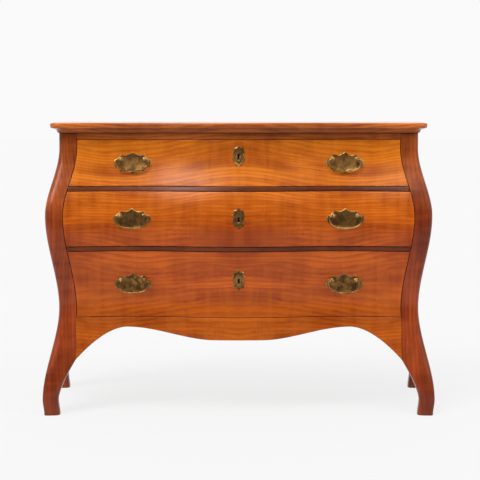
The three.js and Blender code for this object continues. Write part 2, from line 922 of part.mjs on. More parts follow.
const guideInner = boxHalf + runner.clearance;

function runnerOutline(floor) {
  const inner = boxHalf - runner.width;
  return [
    [inner, floor - runner.thickness],
    [sideInner, floor - runner.thickness],
    [sideInner, floor + runner.guideHeight],
    [guideInner, floor + runner.guideHeight],
    [guideInner, floor],
    [inner, floor],
  ];
}

[upper, middle].forEach(({ name, floor }) => {
  const strip = runBack(runnerOutline(floor), postBack, backPanelFront);
  addPair(name + "_left_runner", name + "_right_runner", strip, materials.frameWood);
});
addPair(
  "lower_left_guide",
  "lower_right_guide",
  block(
    [guideInner, sideInner],
    [postBack, backPanelFront],
    [lowerFloor, lowerFloor + runner.guideHeight],
  ),
  materials.frameWood,
);

openings.forEach(({ name, floor, setback }) => {
  const face = insideY(stop.width / 2, setback) + seat;
  add(
    name + "_drawer_stop",
    block([-stop.width / 2, stop.width / 2], [face, face + stop.depth], [floor, floor + stop.height]),
    materials.frameWood,
  );
});

export default chest;
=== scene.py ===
# Bombe chest of three drawers: fine surfaces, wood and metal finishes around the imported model
import math
import bpy
from mathutils import Matrix, Vector


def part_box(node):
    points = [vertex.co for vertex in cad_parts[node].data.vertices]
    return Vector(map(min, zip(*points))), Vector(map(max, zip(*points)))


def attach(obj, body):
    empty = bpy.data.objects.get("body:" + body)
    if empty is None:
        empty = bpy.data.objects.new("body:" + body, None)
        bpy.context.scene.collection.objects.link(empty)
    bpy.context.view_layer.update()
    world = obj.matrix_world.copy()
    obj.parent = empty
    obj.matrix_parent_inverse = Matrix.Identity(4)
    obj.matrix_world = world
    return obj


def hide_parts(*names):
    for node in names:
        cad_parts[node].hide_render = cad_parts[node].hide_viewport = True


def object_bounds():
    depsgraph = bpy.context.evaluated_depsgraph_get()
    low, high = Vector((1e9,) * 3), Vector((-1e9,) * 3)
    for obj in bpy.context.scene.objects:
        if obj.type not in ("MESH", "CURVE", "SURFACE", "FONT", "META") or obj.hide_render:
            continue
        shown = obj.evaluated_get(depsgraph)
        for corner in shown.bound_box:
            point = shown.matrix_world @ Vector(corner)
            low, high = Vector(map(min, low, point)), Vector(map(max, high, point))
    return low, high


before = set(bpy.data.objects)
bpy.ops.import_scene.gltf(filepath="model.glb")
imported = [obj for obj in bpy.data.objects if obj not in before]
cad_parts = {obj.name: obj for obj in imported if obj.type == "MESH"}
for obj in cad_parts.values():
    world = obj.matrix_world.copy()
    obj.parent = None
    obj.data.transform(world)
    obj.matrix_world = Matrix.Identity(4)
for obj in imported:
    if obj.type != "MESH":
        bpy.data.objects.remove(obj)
cadLow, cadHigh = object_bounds()
print("frame loaded:", len(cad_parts), "nodes")


# Outline of the chest, in metres

topLow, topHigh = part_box("top_board")
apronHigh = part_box("front_apron")[1]
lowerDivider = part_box("lower_divider")
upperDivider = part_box("upper_divider")
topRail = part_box("top_front_rail")
plateLow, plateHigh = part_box("upper_right_handle_plate")

chest = {
    "neckHalf": 0.504,  # half width over the posts under the top
    "frontLine": 0.192,  # mean line of the front under the top, before the origin
    "backFace": topHigh.y,
    "postWidth": 0.050,
    "postBack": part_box("upper_left_runner")[0].y,
    "rearPostFront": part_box("rear_left_leg")[0].y,
    "sideInner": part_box("back_panel")[1].x,
    "splay": 0.020,  # how much farther out the rear legs stand
    "bow": 0.008,  # swell of the sides in plan
    "footLevel": 0.045,
    "kneeLevel": 0.154,
    "waistLevel": 0.300,
    "neckDrop": 0.044,  # from the top board down to where the swell starts
    "wave": 0.017,  # how far the front waves in plan, either way
    "waveHalf": (plateLow.x + plateHigh.x) / 2,  # middle of the chest to the hollows of the front
    "bulgeRise": 0.008,  # fullest level, over the middle of the middle drawer
    "frontWall": 0.022,  # least thickness of a drawer front
    "seat": 0.0003,  # gap between pieces that lie against each other
    "faceGap": 0.0015,  # gap around a drawer front
    "setbackSteps": 12,
}
# How far the sides and the front stand out at each level, beyond the neck
sideSwell = {"toe": 0.043, "foot": 0.047, "waist": 0.004, "bulge": 0.036}
frontSwell = {"toe": 0.036, "foot": 0.040, "waist": 0.004, "bulge": 0.048}

apronTop = apronHigh.z
caseTop = topLow.z
bulgeLevel = (lowerDivider[1].z + upperDivider[0].z) / 2 + chest["bulgeRise"]
neckLevel = caseTop - chest["neckDrop"]

openings = {
    "upper": (upperDivider[1].z, topRail[0].z),
    "middle": (lowerDivider[1].z, upperDivider[0].z),
    "lower": (apronTop, lowerDivider[0].z),
}


def ease(t):
    return t * t * (3 - 2 * t)


def clamp(t):
    return min(1.0, max(0.0, t))


def stationsOf(swell):
    levels = (0, chest["footLevel"], chest["waistLevel"], bulgeLevel, neckLevel)
    return list(zip(levels, (swell["toe"], swell["foot"], swell["waist"], swell["bulge"], 0)))


sideStations = stationsOf(sideSwell)
frontStations = stationsOf(frontSwell)


# The value at a place, eased from each station to the next.
def along(stations, place):
    if place <= stations[0][0]:
        return stations[0][1]
    for (start, low), (end, high) in zip(stations, stations[1:]):
        if place <= end:
            return low + (high - low) * ease((place - start) / (end - start))
    return stations[-1][1]


def halfWidth(z):
    return chest["neckHalf"] + along(sideStations, z)


def wave(x):
    return chest["wave"] * math.cos(math.pi * x / chest["waveHalf"])


def frontY(x, z):
    return -(chest["frontLine"] + along(frontStations, z) + wave(x))


def sideX(y, z):
    t = clamp((y - chest["postBack"]) / (chest["rearPostFront"] - chest["postBack"]))
    bow = chest["bow"] * (1 - math.cos(2 * math.pi * t)) / 2
    return halfWidth(z) + chest["splay"] * ease(t) + bow


# Inner edge of a front post, which runs straight down from the upper edge of the apron.
def postInner(z):
    return halfWidth(max(z, apronTop)) - chest["postWidth"]


# How far the front stands out at the most hollow level of an opening.
def setbackOf(low, high):
    return min(along(frontStations, z) for z in spread(low, high, chest["setbackSteps"]))


# Inside of a drawer front, which follows the wave but stands upright.
def insideY(x, setback):
    return -(chest["frontLine"] + setback - chest["frontWall"] + wave(x))


def spread(low, high, count):
    return [low + (high - low) * i / count for i in range(count + 1)]


def mix(a, b, t):
    return a + (b - a) * t


# Mesh helpers

edgeStyle = {
    "sharpAngle": 40,  # degrees; flatter edges are shaded smooth
    "bevelAngle": 38,
    "bevelSegments": 2,
    "facing": 0.5,  # cosine between the way a face looks and the way asked for
}


def makePiece(name, points, faces, material, sharpAngle=None):
    mesh = bpy.data.meshes.new(name)
    mesh.from_pydata([tuple(p) for p in points], [], faces)
    mesh.validate()
    mesh.update()
    mesh.shade_smooth()
    if sharpAngle:
        mesh.set_sharp_from_angle(angle=math.radians(sharpAngle))
    piece = bpy.data.objects.new(name, mesh)
    bpy.context.scene.collection.objects.link(piece)
    mesh.materials.append(material)
    return piece


def ringFaces(ringCount, size):
    faces = []
    for i in range(ringCount - 1):
        for j in range(size):
            k = (j + 1) % size
            a, b = i * size, (i + 1) * size
            faces.append((a + j, a + k, b + k, b + j))
    return faces


# Rings of points in a row, closed by a flat face at each end.
def loftParts(rings):
    size = len(rings[0])
    last = (len(rings) - 1) * size
    faces = ringFaces(len(rings), size)
    faces += [tuple(reversed(range(size))), tuple(range(last, last + size))]
    return [p for ring in rings for p in ring], faces


def makeLoft(name, rings, material, sharpAngle=None):
    return makePiece(name, *loftParts(rings), material, sharpAngle)


# An outline of (x, z) points run along Y.
def prismParts(outline, front, back):
    return loftParts([[Vector((x, y, z)) for x, z in outline] for y in (back, front)])


# Two matching grids of columns, an outer skin and an inner one, joined around their edges.
def makeSlab(name, outer, inner, material):
    columns, rows = len(outer), len(outer[0])
    points = [p for skin in (outer, inner) for column in skin for p in column]
    shift = columns * rows
    faces = []
    for i in range(columns - 1):
        for j in range(rows - 1):
            a, b = i * rows + j, (i + 1) * rows + j
            faces.append((a, b, b + 1, a + 1))
            faces.append((shift + a + 1, shift + b + 1, shift + b, shift + a))
    # once around the grid: lower edge, last column, upper edge, first column
    rim = [i * rows for i in range(columns)]
    rim += [shift - rows + j for j in range(1, rows)]
    rim += [i * rows + rows - 1 for i in reversed(range(columns - 1))]
    rim += list(reversed(range(1, rows - 1)))
    faces += [(a, shift + a, shift + b, b) for a, b in zip(rim, rim[1:] + rim[:1])]
    return makePiece(name, points, faces, material, edgeStyle["sharpAngle"])


# A slab between the surface of the front and a surface behind it, from columns of (x, z).
def makeFrontSlab(name, columns, innerY, material):
    outer = [[Vector((x, frontY(x, z), z)) for x, z in column] for column in columns]
    inner = [[Vector((x, innerY(x), z)) for x, z in column] for column in columns]
    return makeSlab(name, outer, inner, material)


# A section turned around an axis along Y, from (radius, y) points that start and end on the axis.
def turnedParts(x, z, profile, sides):
    points = [Vector((x, profile[0][1], z))]
    for radius, y in profile[1:-1]:
        for k in range(sides):
            a = 2 * math.pi * k / sides
            points.append(Vector((x + radius * math.cos(a), y, z + radius * math.sin(a))))
    points.append(Vector((x, profile[-1][1], z)))
    last = len(points) - 1
    faces = [tuple(1 + i for i in reversed(face)) for face in ringFaces(len(profile) - 2, sides)]
    for k in range(sides):
        n = (k + 1) % sides
        faces += [(0, 1 + k, 1 + n), (last, last - sides + n, last - sides + k)]
    return points, faces


def addBevel(piece, width, segments=edgeStyle["bevelSegments"]):
    bevel = piece.modifiers.new("softEdges", "BEVEL")
    bevel.width = width
    bevel.segments = segments
    bevel.limit_method = "ANGLE"
    bevel.angle_limit = math.radians(edgeStyle["bevelAngle"])
    bevel.harden_normals = True
    bevel.miter_outer = "MITER_ARC"
    return bevel


def weightNormals(piece):
    piece.modifiers.new("evenShade", "WEIGHTED_NORMAL").keep_sharp = True


# The same piece on the other side of the chest, with its modifiers.
def mirrored(piece, name):
    twin = piece.copy()
    twin.name = name
    twin.data = piece.data.copy()
    twin.data.name = name
    twin.data.transform(Matrix.Scale(-1, 4, (1, 0, 0)))
    twin.data.flip_normals()
    bpy.context.scene.collection.objects.link(twin)
    return twin


def cutWith(piece, cutter):
    boolean = piece.modifiers.new("cut", "BOOLEAN")
    boolean.operation = "DIFFERENCE"
    boolean.solver = "EXACT"
    boolean.object = cutter
    bpy.context.view_layer.update()
    graph = bpy.context.evaluated_depsgraph_get()
    mesh = bpy.data.meshes.new_from_object(piece.evaluated_get(graph), depsgraph=graph)
    piece.modifiers.clear()
    old = piece.data
    piece.data = mesh
    mesh.name = piece.name
    bpy.data.meshes.remove(old)
    spent = cutter.data
    bpy.data.objects.remove(cutter)
    bpy.data.meshes.remove(spent)


# Rounds the edges first, so that no vertex of a small cut limits the rounding.
def roundThenCut(piece, width, tools):
    addBevel(piece, width).harden_normals = False
    for points, faces in tools:
        cutWith(piece, makePiece("cutter", points, faces, piece.data.materials[0]))
    piece.data.shade_smooth()
    piece.data.set_sharp_from_angle(angle=math.radians(edgeStyle["sharpAngle"]))
    weightNormals(piece)


# Plain wood on the faces that look the given way, which nobody polishes.
def leavePlain(piece, material, way):
    piece.data.materials.append(material)
    for face in piece.data.polygons:
        if face.normal.dot(Vector(way)) > edgeStyle["facing"]:
            face.material_index = 1


def joinParts(parts):
    points, faces = [], []
    for morePoints, moreFaces in parts:
        shift = len(points)
        points += morePoints
        faces += [tuple(shift + i for i in face) for face in moreFaces]
    return points, faces


def placePiece(piece, body, node):
    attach(piece, body)
    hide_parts(node)


# A curve that bends towards the pull.
def bezier(start, pull, end, count):
    points = []
    for i in range(count + 1):
        t = i / count
        points.append(tuple(
            (1 - t) ** 2 * a + 2 * t * (1 - t) * b + t * t * c for a, b, c in zip(start, pull, end)))
    return points


# Shader node helpers

# A group that takes a vector and some values, and gives masks and heights.
def newGroup(name, values, outputs):
    group = bpy.data.node_groups.new(name, "ShaderNodeTree")
    group.interface.new_socket(name="Vector", in_out="INPUT", socket_type="NodeSocketVector")
    for label, value in values.items():
        socket = group.interface.new_socket(name=label, in_out="INPUT", socket_type="NodeSocketFloat")
        socket.default_value = value
    for label in outputs:
        group.interface.new_socket(name=label, in_out="OUTPUT", socket_type="NodeSocketFloat")
    inside = group.nodes.new("NodeGroupInput")
    outside = group.nodes.new("NodeGroupOutput")
    return group, inside, outside


def link(tree, source, target):
    tree.links.new(source, target)


def feed(tree, socket, value):
    if value is None:
        return
    if isinstance(value, bpy.types.NodeSocket):
        link(tree, value, socket)
    else:
        socket.default_value = value


# A node with its settings, and with its inputs fed in their order.
def addNode(tree, kind, values=(), **settings):
    node = tree.nodes.new(f"ShaderNode{kind}")
    for setting, value in settings.items():
        setattr(node, setting, value)
    for socket, value in zip(node.inputs, values):
        feed(tree, socket, value)
    return node


def mathNode(tree, operation, *values):
    return addNode(tree, "Math", values, operation=operation).outputs[0]


def vectorNode(tree, operation, a, b):
    node = addNode(tree, "VectorMath", (a, b), operation=operation)
    return node.outputs["Value" if operation == "DOT_PRODUCT" else "Vector"]


def noiseNode(tree, vector, scale, detail, roughness, distortion=0.0):
    node = addNode(tree, "TexNoise")
    for label, value in (("Vector", vector), ("Scale", scale), ("Detail", detail), ("Roughness", roughness),
                         ("Distortion", distortion)):
        feed(tree, node.inputs[label], value)
    return node.outputs[0]


def rangeNode(tree, value, fromLow, fromHigh, toLow=0.0, toHigh=1.0, curve="SMOOTHSTEP"):
    values = (value, fromLow, fromHigh, toLow, toHigh)
    return addNode(tree, "MapRange", values, interpolation_type=curve).outputs[0]


def mixColour(tree, factor, a, b, blend="MIX"):
    node = addNode(tree, "Mix", (factor,), data_type="RGBA", blend_type=blend)
    feed(tree, node.inputs[6], rgba(a))
    feed(tree, node.inputs[7], rgba(b))
    return node.outputs[2]


def rgba(colour):
    if isinstance(colour, bpy.types.NodeSocket):
        return colour
    return (*colour, 1.0)


# An sRGB colour, made linear for the shaders
def tone(red, green, blue):
    return tuple(
        v / 12.92 if v <= 0.04045 else ((v + 0.055) / 1.055) ** 2.4
        for v in (red / 255, green / 255, blue / 255))


# Wood grain: growth rings cut lengthwise, broad bands, fine fibres, short pores, and the ripple across the
# grain that polished wood shows. The grain runs along X of the vector that comes in.
grainShape = {
    "ringScale": 90.0,
    "waviness": 0.12,
    # noises: stretch along the grain, scale, detail, roughness
    "drift": (0.3, 4.6, 1.5, 0.5),
    "tremor": (0.16, 46.0, 2.0, 0.5),
    "unevenness": (0.05, 11.0, 2.0, 0.5),
    "bands": (0.09, 21.0, 5.0, 0.62),
    "fibres": (0.025, 760.0, 3.0, 0.6),
    "pores": (0.06, 2100.0, 1.0, 0.4),
    "ripple": (34.0, 2.0, 0.45, 0.6),  # scale, detail, roughness, distortion
    "rippleStretch": (1.0, 0.13, 0.13),
    # levels of the noises between which each effect comes in
    "bandRange": (0.33, 0.67),
    "fibreRange": (0.30, 0.70),
    "poreRange": (0.60, 0.70),
    "rippleRange": (0.34, 0.66),
    # shares of a ring over which it darkens, then breaks off
    "darkening": (0.25, 0.86),
    "breakOff": (0.87, 1.0),
    "ringWay": (0.0, 0.3, 1.0),  # direction in which the rings follow each other
    "ringUnevenness": 4.0,
    "noiseMiddle": 0.5,
    "tremorShare": 0.07,
    "sideSway": 0.1,
    "fibreRelief": 0.3,
    "shiftFactors": (3.1, 7.7, 5.3),
}


def makeGrainGroup():
    shape = grainShape
    group, given, made = newGroup(
        "woodGrain", {"Ring Scale": shape["ringScale"], "Waviness": shape["waviness"], "Shift": 0.0},
        ("Rings", "Bands", "Fibres", "Pores", "Ripple", "Height"))
    shifts = [mathNode(group, "MULTIPLY", given.outputs["Shift"], factor) for factor in shape["shiftFactors"]]
    shift = addNode(group, "CombineXYZ", shifts).outputs[0]
    place = vectorNode(group, "ADD", given.outputs["Vector"], shift)

    def stretched(vector, noise):
        stretch, *kind = shape[noise]
        return noiseNode(group, vectorNode(group, "MULTIPLY", vector, (stretch, 1.0, 1.0)), *kind)

    drift = mathNode(group, "SUBTRACT", stretched(place, "drift"), shape["noiseMiddle"])
    tremor = mathNode(group, "SUBTRACT", stretched(place, "tremor"), shape["noiseMiddle"])
    sway = mathNode(group, "MULTIPLY_ADD", tremor, shape["tremorShare"], drift)
    sway = mathNode(group, "MULTIPLY", sway, given.outputs["Waviness"])
    sideSway = mathNode(group, "MULTIPLY", sway, shape["sideSway"])
    swayed = addNode(group, "CombineXYZ", (0.0, sideSway, sway)).outputs[0]
    bent = vectorNode(group, "ADD", place, swayed)
    # rings: from pale early wood to a dark line with a sharp far side
    across = vectorNode(group, "DOT_PRODUCT", bent, shape["ringWay"])
    uneven = mathNode(group, "MULTIPLY", stretched(bent, "unevenness"), shape["ringUnevenness"])
    turn = mathNode(group, "MULTIPLY_ADD", across, given.outputs["Ring Scale"], uneven)
    turn = mathNode(group, "FRACT", turn)
    darkening = rangeNode(group, turn, *shape["darkening"])
    breakOff = rangeNode(group, turn, *shape["breakOff"], 1.0, 0.0)
    ripple = vectorNode(group, "MULTIPLY", bent, shape["rippleStretch"])
    fibres = rangeNode(group, stretched(bent, "fibres"), *shape["fibreRange"])
    raised = mathNode(group, "MULTIPLY", fibres, shape["fibreRelief"])
    pores = rangeNode(group, stretched(bent, "pores"), *shape["poreRange"])
    results = {
        "Rings": mathNode(group, "MULTIPLY", darkening, breakOff),
        "Bands": rangeNode(group, stretched(bent, "bands"), *shape["bandRange"]),
        "Fibres": fibres,
        "Pores": pores,
        "Ripple": rangeNode(group, noiseNode(group, ripple, *shape["ripple"]), *shape["rippleRange"]),
        "Height": mathNode(group, "SUBTRACT", raised, pores),
    }
    for label, source in results.items():
        link(group, source, made.inputs[label])
    return group


# Handling: edges rubbed pale, dulled patches of the polish, and small spots.
wearShape = {
    "edgeStart": 0.53,  # how sharp an edge is where the wear starts, and where it is full
    "edgeEnd": 0.62,
    # noises: scale, detail, roughness, distortion; then the levels between which each comes in
    "rubbing": (22.0, 4.0, 0.6),
    "rubbingRange": (0.38, 0.66),
    "dulling": (4.5, 5.0, 0.65, 0.4),
    "dullingRange": (0.32, 0.70),
    "spots": (60.0, 3.0, 0.7),
    "spotsRange": (0.56, 0.74),
}


def makeWearGroup():
    group, given, made = newGroup(
        "handWear", {"Edge Start": wearShape["edgeStart"], "Edge End": wearShape["edgeEnd"]},
        ("Edge", "Dull", "Spots"))

    def patches(noise):
        field = noiseNode(group, given.outputs["Vector"], *wearShape[noise])
        return rangeNode(group, field, *wearShape[f"{noise}Range"])

    pointiness = addNode(group, "NewGeometry").outputs["Pointiness"]
    edge = rangeNode(group, pointiness, given.outputs["Edge Start"], given.outputs["Edge End"])
    link(group, mathNode(group, "MULTIPLY", edge, patches("rubbing")), made.inputs["Edge"])
    link(group, patches("dulling"), made.inputs["Dull"])
    link(group, patches("spots"), made.inputs["Spots"])
    return group


grainGroup = makeGrainGroup()
wearGroup = makeWearGroup()


def placeGroup(tree, group, values):
    node = tree.nodes.new("ShaderNodeGroup")
    node.node_tree = group
    for label, value in values.items():
        feed(tree, node.inputs[label], value)
    return node.outputs


def newMaterial(name):
    material = bpy.data.materials.new(name)
    material.use_nodes = True
    tree = material.node_tree
    tree.nodes.clear()
    shader = addNode(tree, "BsdfPrincipled")
    addNode(tree, "OutputMaterial", (shader.outputs[0],))
    return material, tree, shader


def addBump(tree, shader, height, distance):
    bump = addNode(tree, "Bump")
    bump.inputs["Strength"].default_value = 1.0
    bump.inputs["Distance"].default_value = distance
    link(tree, height, bump.inputs["Height"])
    link(tree, bump.outputs[0], shader.inputs["Normal"])


# Turns the object's coordinates so that the grain runs along the first axis. A book match folds them at the
# middle of the chest.
def grainVector(tree, grainAxis, bookMatch):
    coords = addNode(tree, "TexCoord").outputs["Object"]
    x, y, z = addNode(tree, "SeparateXYZ", (coords,)).outputs
    if bookMatch:
        x = mathNode(tree, "ABSOLUTE", x)
    order = {"X": (x, y, z), "Y": (y, x, z), "Z": (z, y, x)}[grainAxis]
    return addNode(tree, "CombineXYZ", order).outputs[0], z


# Boards side by side across the grain: a tone for each, and the dark joints between them.
def layBoards(tree, vector, look):
    across = addNode(tree, "SeparateXYZ", (vector,)).outputs[2]
    across = mathNode(tree, "SUBTRACT", across, look["firstJoint"])
    count = mathNode(tree, "DIVIDE", across, look["boardWidth"])
    tint = addNode(tree, "TexWhiteNoise", noise_dimensions="1D")
    link(tree, mathNode(tree, "FLOOR", count), tint.inputs["W"])
    fromMiddle = mathNode(tree, "SUBTRACT", mathNode(tree, "FRACT", count), 0.5)
    joint = rangeNode(tree, mathNode(tree, "ABSOLUTE", fromMiddle), *look["jointRange"])
    return tint.outputs["Value"], joint


# Lays a tint over a colour where a mask is bright.
def overlay(tree, colour, mask, depth, tint):
    return mixColour(tree, mathNode(tree, "MULTIPLY", mask, depth), colour, tint)


def makeWood(name, look):
    material, tree, shader = newMaterial(name)
    vector, level = grainVector(tree, look["grain"], look["bookMatch"])
    shift = look["shift"]
    if look["eachPiece"]:
        random = addNode(tree, "ObjectInfo").outputs["Random"]
        shift = mathNode(tree, "MULTIPLY_ADD", random, look["pieceSpread"], shift)
    if "boardWidth" in look:
        boardTone, joint = layBoards(tree, vector, look)
        shift = mathNode(tree, "MULTIPLY_ADD", boardTone, look["boardSpread"], shift)
    grain = placeGroup(tree, grainGroup, {
        "Vector": vector, "Ring Scale": look["ringScale"], "Waviness": look["waviness"], "Shift": shift})
    wear = placeGroup(tree, wearGroup, {"Vector": vector})
    colour = mixColour(tree, grain["Bands"], look["dark"], look["light"])
    for mask, depth, tint in (("Rings", "ringDepth", "ring"), ("Fibres", "fibreDepth", "dark"),
                              ("Ripple", "rippleDepth", "sheen"), ("Pores", "poreDepth", "pore")):
        colour = overlay(tree, colour, grain[mask], look[depth], look[tint])
    # tints that come in below given levels: a redder wood tone, and painted shade on the lower front
    for tint, low, high in look["toneAndShadeFalls"]:
        colour = mixColour(tree, rangeNode(tree, level, low, high, 1.0, 0.0), colour, tint, "MULTIPLY")
    colour = overlay(tree, colour, wear["Dull"], look["dullDepth"], look["dull"])
    colour = overlay(tree, colour, wear["Edge"], look["edgeDepth"], look["edge"])
    height = grain["Height"]
    if "boardWidth" in look:
        colour = overlay(tree, colour, boardTone, look["boardDull"], look["dull"])
        colour = overlay(tree, colour, joint, look["jointDepth"], look["pore"])
        height = mathNode(tree, "MULTIPLY_ADD", joint, look["jointRelief"], height)
    link(tree, colour, shader.inputs["Base Color"])
    rough = rangeNode(tree, wear["Dull"], 0.0, 1.0, look["roughLow"], look["roughHigh"], "LINEAR")
    rough = mathNode(tree, "MULTIPLY_ADD", grain["Pores"], look["poreRough"], rough)
    link(tree, rough, shader.inputs["Roughness"])
    shader.inputs["Specular IOR Level"].default_value = look["specular"]
    shader.inputs["Coat Weight"].default_value = look["coat"]
    shader.inputs["Coat Roughness"].default_value = look["coatRough"]
    addBump(tree, shader, height, look["relief"])
    return material


polishedLook = {
    "grain": "X", "bookMatch": True, "shift": 1.0, "ringScale": 85.0, "waviness": 0.16,
    "eachPiece": False, "pieceSpread": 3.0,  # another cut of the wood for each piece, and how far apart
    "dark": tone(153, 67, 8), "light": tone(214, 116, 22), "sheen": tone(228, 138, 42),
    "ring": tone(120, 48, 8), "pore": tone(62, 24, 8), "dull": tone(196, 104, 34), "edge": tone(224, 140, 66),
    # redder and darker downwards, partly a redder wood tone and partly painted shade on the lower front,
    # where less light falls: tint, and the levels between which it comes in
    "toneAndShadeFalls": ((tone(242, 206, 222), 0.49, 0.68), (tone(222, 236, 245), 0.24, 0.39)),
    "ringDepth": 0.42, "fibreDepth": 0.22, "rippleDepth": 0.17, "poreDepth": 0.5, "dullDepth": 0.1,
    "edgeDepth": 0.5, "roughLow": 0.17, "roughHigh": 0.30, "specular": 0.21, "coat": 0.05, "coatRough": 0.16,
    "poreRough": 0.12, "relief": 0.00006,
}
veneer = makeWood("front_veneer", polishedLook)
legWood = makeWood("leg_wood", {
    **polishedLook, "grain": "Z", "bookMatch": False, "shift": 2.0, "waviness": 0.07,
    "dark": tone(108, 44, 16), "light": tone(172, 82, 31), "sheen": tone(192, 103, 46),
    "ring": tone(82, 33, 14),
    # the same redder tone and painted shade as the front, then darker towards the feet
    "toneAndShadeFalls": ((tone(236, 204, 222), 0.49, 0.68), (tone(242, 238, 244), 0.10, 0.36))})
sideVeneer = makeWood("side_veneer", {
    **polishedLook, "grain": "Z", "bookMatch": False, "shift": 4.0})
topVeneer = makeWood("top_veneer", {
    **polishedLook, "shift": 6.0,
    "dark": tone(134, 63, 24), "light": tone(208, 110, 44), "ring": tone(108, 46, 18),
    "toneAndShadeFalls": (), "rippleDepth": 0.08, "ringDepth": 0.5, "roughLow": 0.12, "roughHigh": 0.2, "coat": 0.3})
edgeWood = makeWood("divider_wood", {
    **polishedLook, "bookMatch": False, "shift": 8.0, "eachPiece": True, "waviness": 0.04,
    "dark": tone(118, 54, 22), "light": tone(186, 96, 40), "ring": tone(92, 40, 16), "rippleDepth": 0.08,
    # the rails between the drawers much darker than the one under the top
    "toneAndShadeFalls": ((tone(150, 130, 140), 0.66, 0.74),)})
liningLook = {
    **polishedLook, "bookMatch": False, "shift": 10.0, "eachPiece": True, "waviness": 0.08,
    "ringScale": 130.0,
    "dark": tone(168, 124, 82), "light": tone(206, 168, 122), "sheen": tone(216, 182, 138),
    "ring": tone(150, 106, 66), "pore": tone(110, 76, 48), "dull": tone(158, 122, 86),
    "edge": tone(180, 142, 102),
    "toneAndShadeFalls": (), "rippleDepth": 0.1, "dullDepth": 0.35, "roughLow": 0.55, "roughHigh": 0.75, "coat": 0.0,
    "relief": 0.0002}
liningWood = makeWood("drawer_lining_wood", liningLook)
acrossWood = makeWood("drawer_side_wood", {**liningLook, "grain": "Y", "shift": 12.0})
frameLook = {
    **liningLook, "shift": 14.0, "ringScale": 70.0, "waviness": 0.12,
    "dark": tone(116, 80, 52), "light": tone(164, 122, 84), "sheen": tone(172, 132, 94),
    "ring": tone(92, 60, 36), "pore": tone(58, 38, 24), "dull": tone(104, 78, 56), "edge": tone(150, 114, 82),
    "ringDepth": 0.5, "roughLow": 0.68, "roughHigh": 0.86, "specular": 0.25, "relief": 0.0003}
backBoards = 4  # joined one above the other
backLow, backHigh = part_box("back_panel")
frameWood = makeWood("frame_wood", {
    **frameLook, "boardWidth": (backHigh.z - backLow.z) / backBoards, "firstJoint": backLow.z,
    "boardSpread": 7.0, "boardDull": 0.3, "jointRange": (0.488, 0.496), "jointDepth": 0.85,
    "jointRelief": -3.0})
runnerWood = makeWood("runner_wood", {**frameLook, "grain": "Y", "shift": 16.0})


def makeMetal(name, look):
    material, tree, shader = newMaterial(name)
    coords = addNode(tree, "TexCoord").outputs["Object"]
    wear = placeGroup(tree, wearGroup, {
        "Vector": coords, "Edge Start": look["edgeStart"], "Edge End": look["edgeEnd"]})
    patches = noiseNode(tree, coords, look["patchScale"], *look["patchNoise"])
    patches = rangeNode(tree, patches, *look["patchRange"])
    colour = mixColour(tree, patches, look["dark"], look["body"])
    colour = overlay(tree, colour, wear["Spots"], look["spotDepth"], look["spot"])
    colour = overlay(tree, colour, wear["Edge"], look["edgeDepth"], look["bright"])
    link(tree, colour, shader.inputs["Base Color"])
    rough = rangeNode(tree, patches, 0.0, 1.0, look["roughHigh"], look["roughLow"], "LINEAR")
    rough = mathNode(tree, "ADD", rough, mathNode(tree, "MULTIPLY", wear["Spots"], look["spotRough"]))
    link(tree, rough, shader.inputs["Roughness"])
    shader.inputs["Metallic"].default_value = look["metallic"]
    addBump(tree, shader, noiseNode(tree, coords, look["castScale"], *look["castNoise"]), look["relief"])
    return material


castLook = {
    # detail, roughness and distortion of the patches; detail and roughness of the cast skin
    "patchNoise": (4.0, 0.65, 0.3), "patchRange": (0.35, 0.68), "castNoise": (3.0, 0.6), "spotRough": 0.15,
}
bronze = makeMetal("patinated_bronze", {
    **castLook, "dark": tone(82, 56, 30), "body": tone(150, 108, 56), "bright": tone(226, 184, 112),
    "spot": tone(52, 38, 22), "spotDepth": 0.5, "edgeDepth": 0.85, "edgeStart": 0.505, "edgeEnd": 0.56,
    "patchScale": 55.0, "castScale": 420.0, "relief": 0.00025, "roughLow": 0.32, "roughHigh": 0.55,
    "metallic": 0.92})
iron = makeMetal("lock_iron", {
    **castLook, "dark": tone(48, 44, 40), "body": tone(92, 88, 84), "bright": tone(168, 164, 158),
    "spot": tone(92, 58, 36), "spotDepth": 0.7, "edgeDepth": 0.7, "edgeStart": 0.51, "edgeEnd": 0.6,
    "patchScale": 40.0, "castScale": 260.0, "relief": 0.0002, "roughLow": 0.42, "roughHigh": 0.68,
    "metallic": 0.85})
print("finishes made")


# Posts and legs

legSize = {
    "footWidth": 0.044,
    "footDepth": 0.046,
    "postRound": 0.026,
    "footRound": 0.015,
    "arris": 0.0015,  # rounding of the edges that look sharp
    "taper": 1.3,  # power by which a leg widens towards the knee
    "levelStep": 0.004,
    "roundSteps": 10,
    "arrisSteps": 4,
}


def risen(z):
    return clamp((z - chest["footLevel"]) / (chest["kneeLevel"] - chest["footLevel"]))


def tapered(z, foot, knee):
    return foot + (knee - foot) * risen(z) ** legSize["taper"]


def roundedRing(corners, radii, counts, z):
    ring = []
    for i, corner in enumerate(corners):
        here = Vector(corner)
        before = here + (Vector(corners[i - 1]) - here).normalized() * radii[i]
        after = here + (Vector(corners[(i + 1) % len(corners)]) - here).normalized() * radii[i]
        ring += [Vector((p[0], p[1], z)) for p in bezier(before, here, after, counts[i])]
    return ring


def footRadii(z, postRadii):
    return [mix(legSize["footRound"], radius, risen(z)) for radius in postRadii]


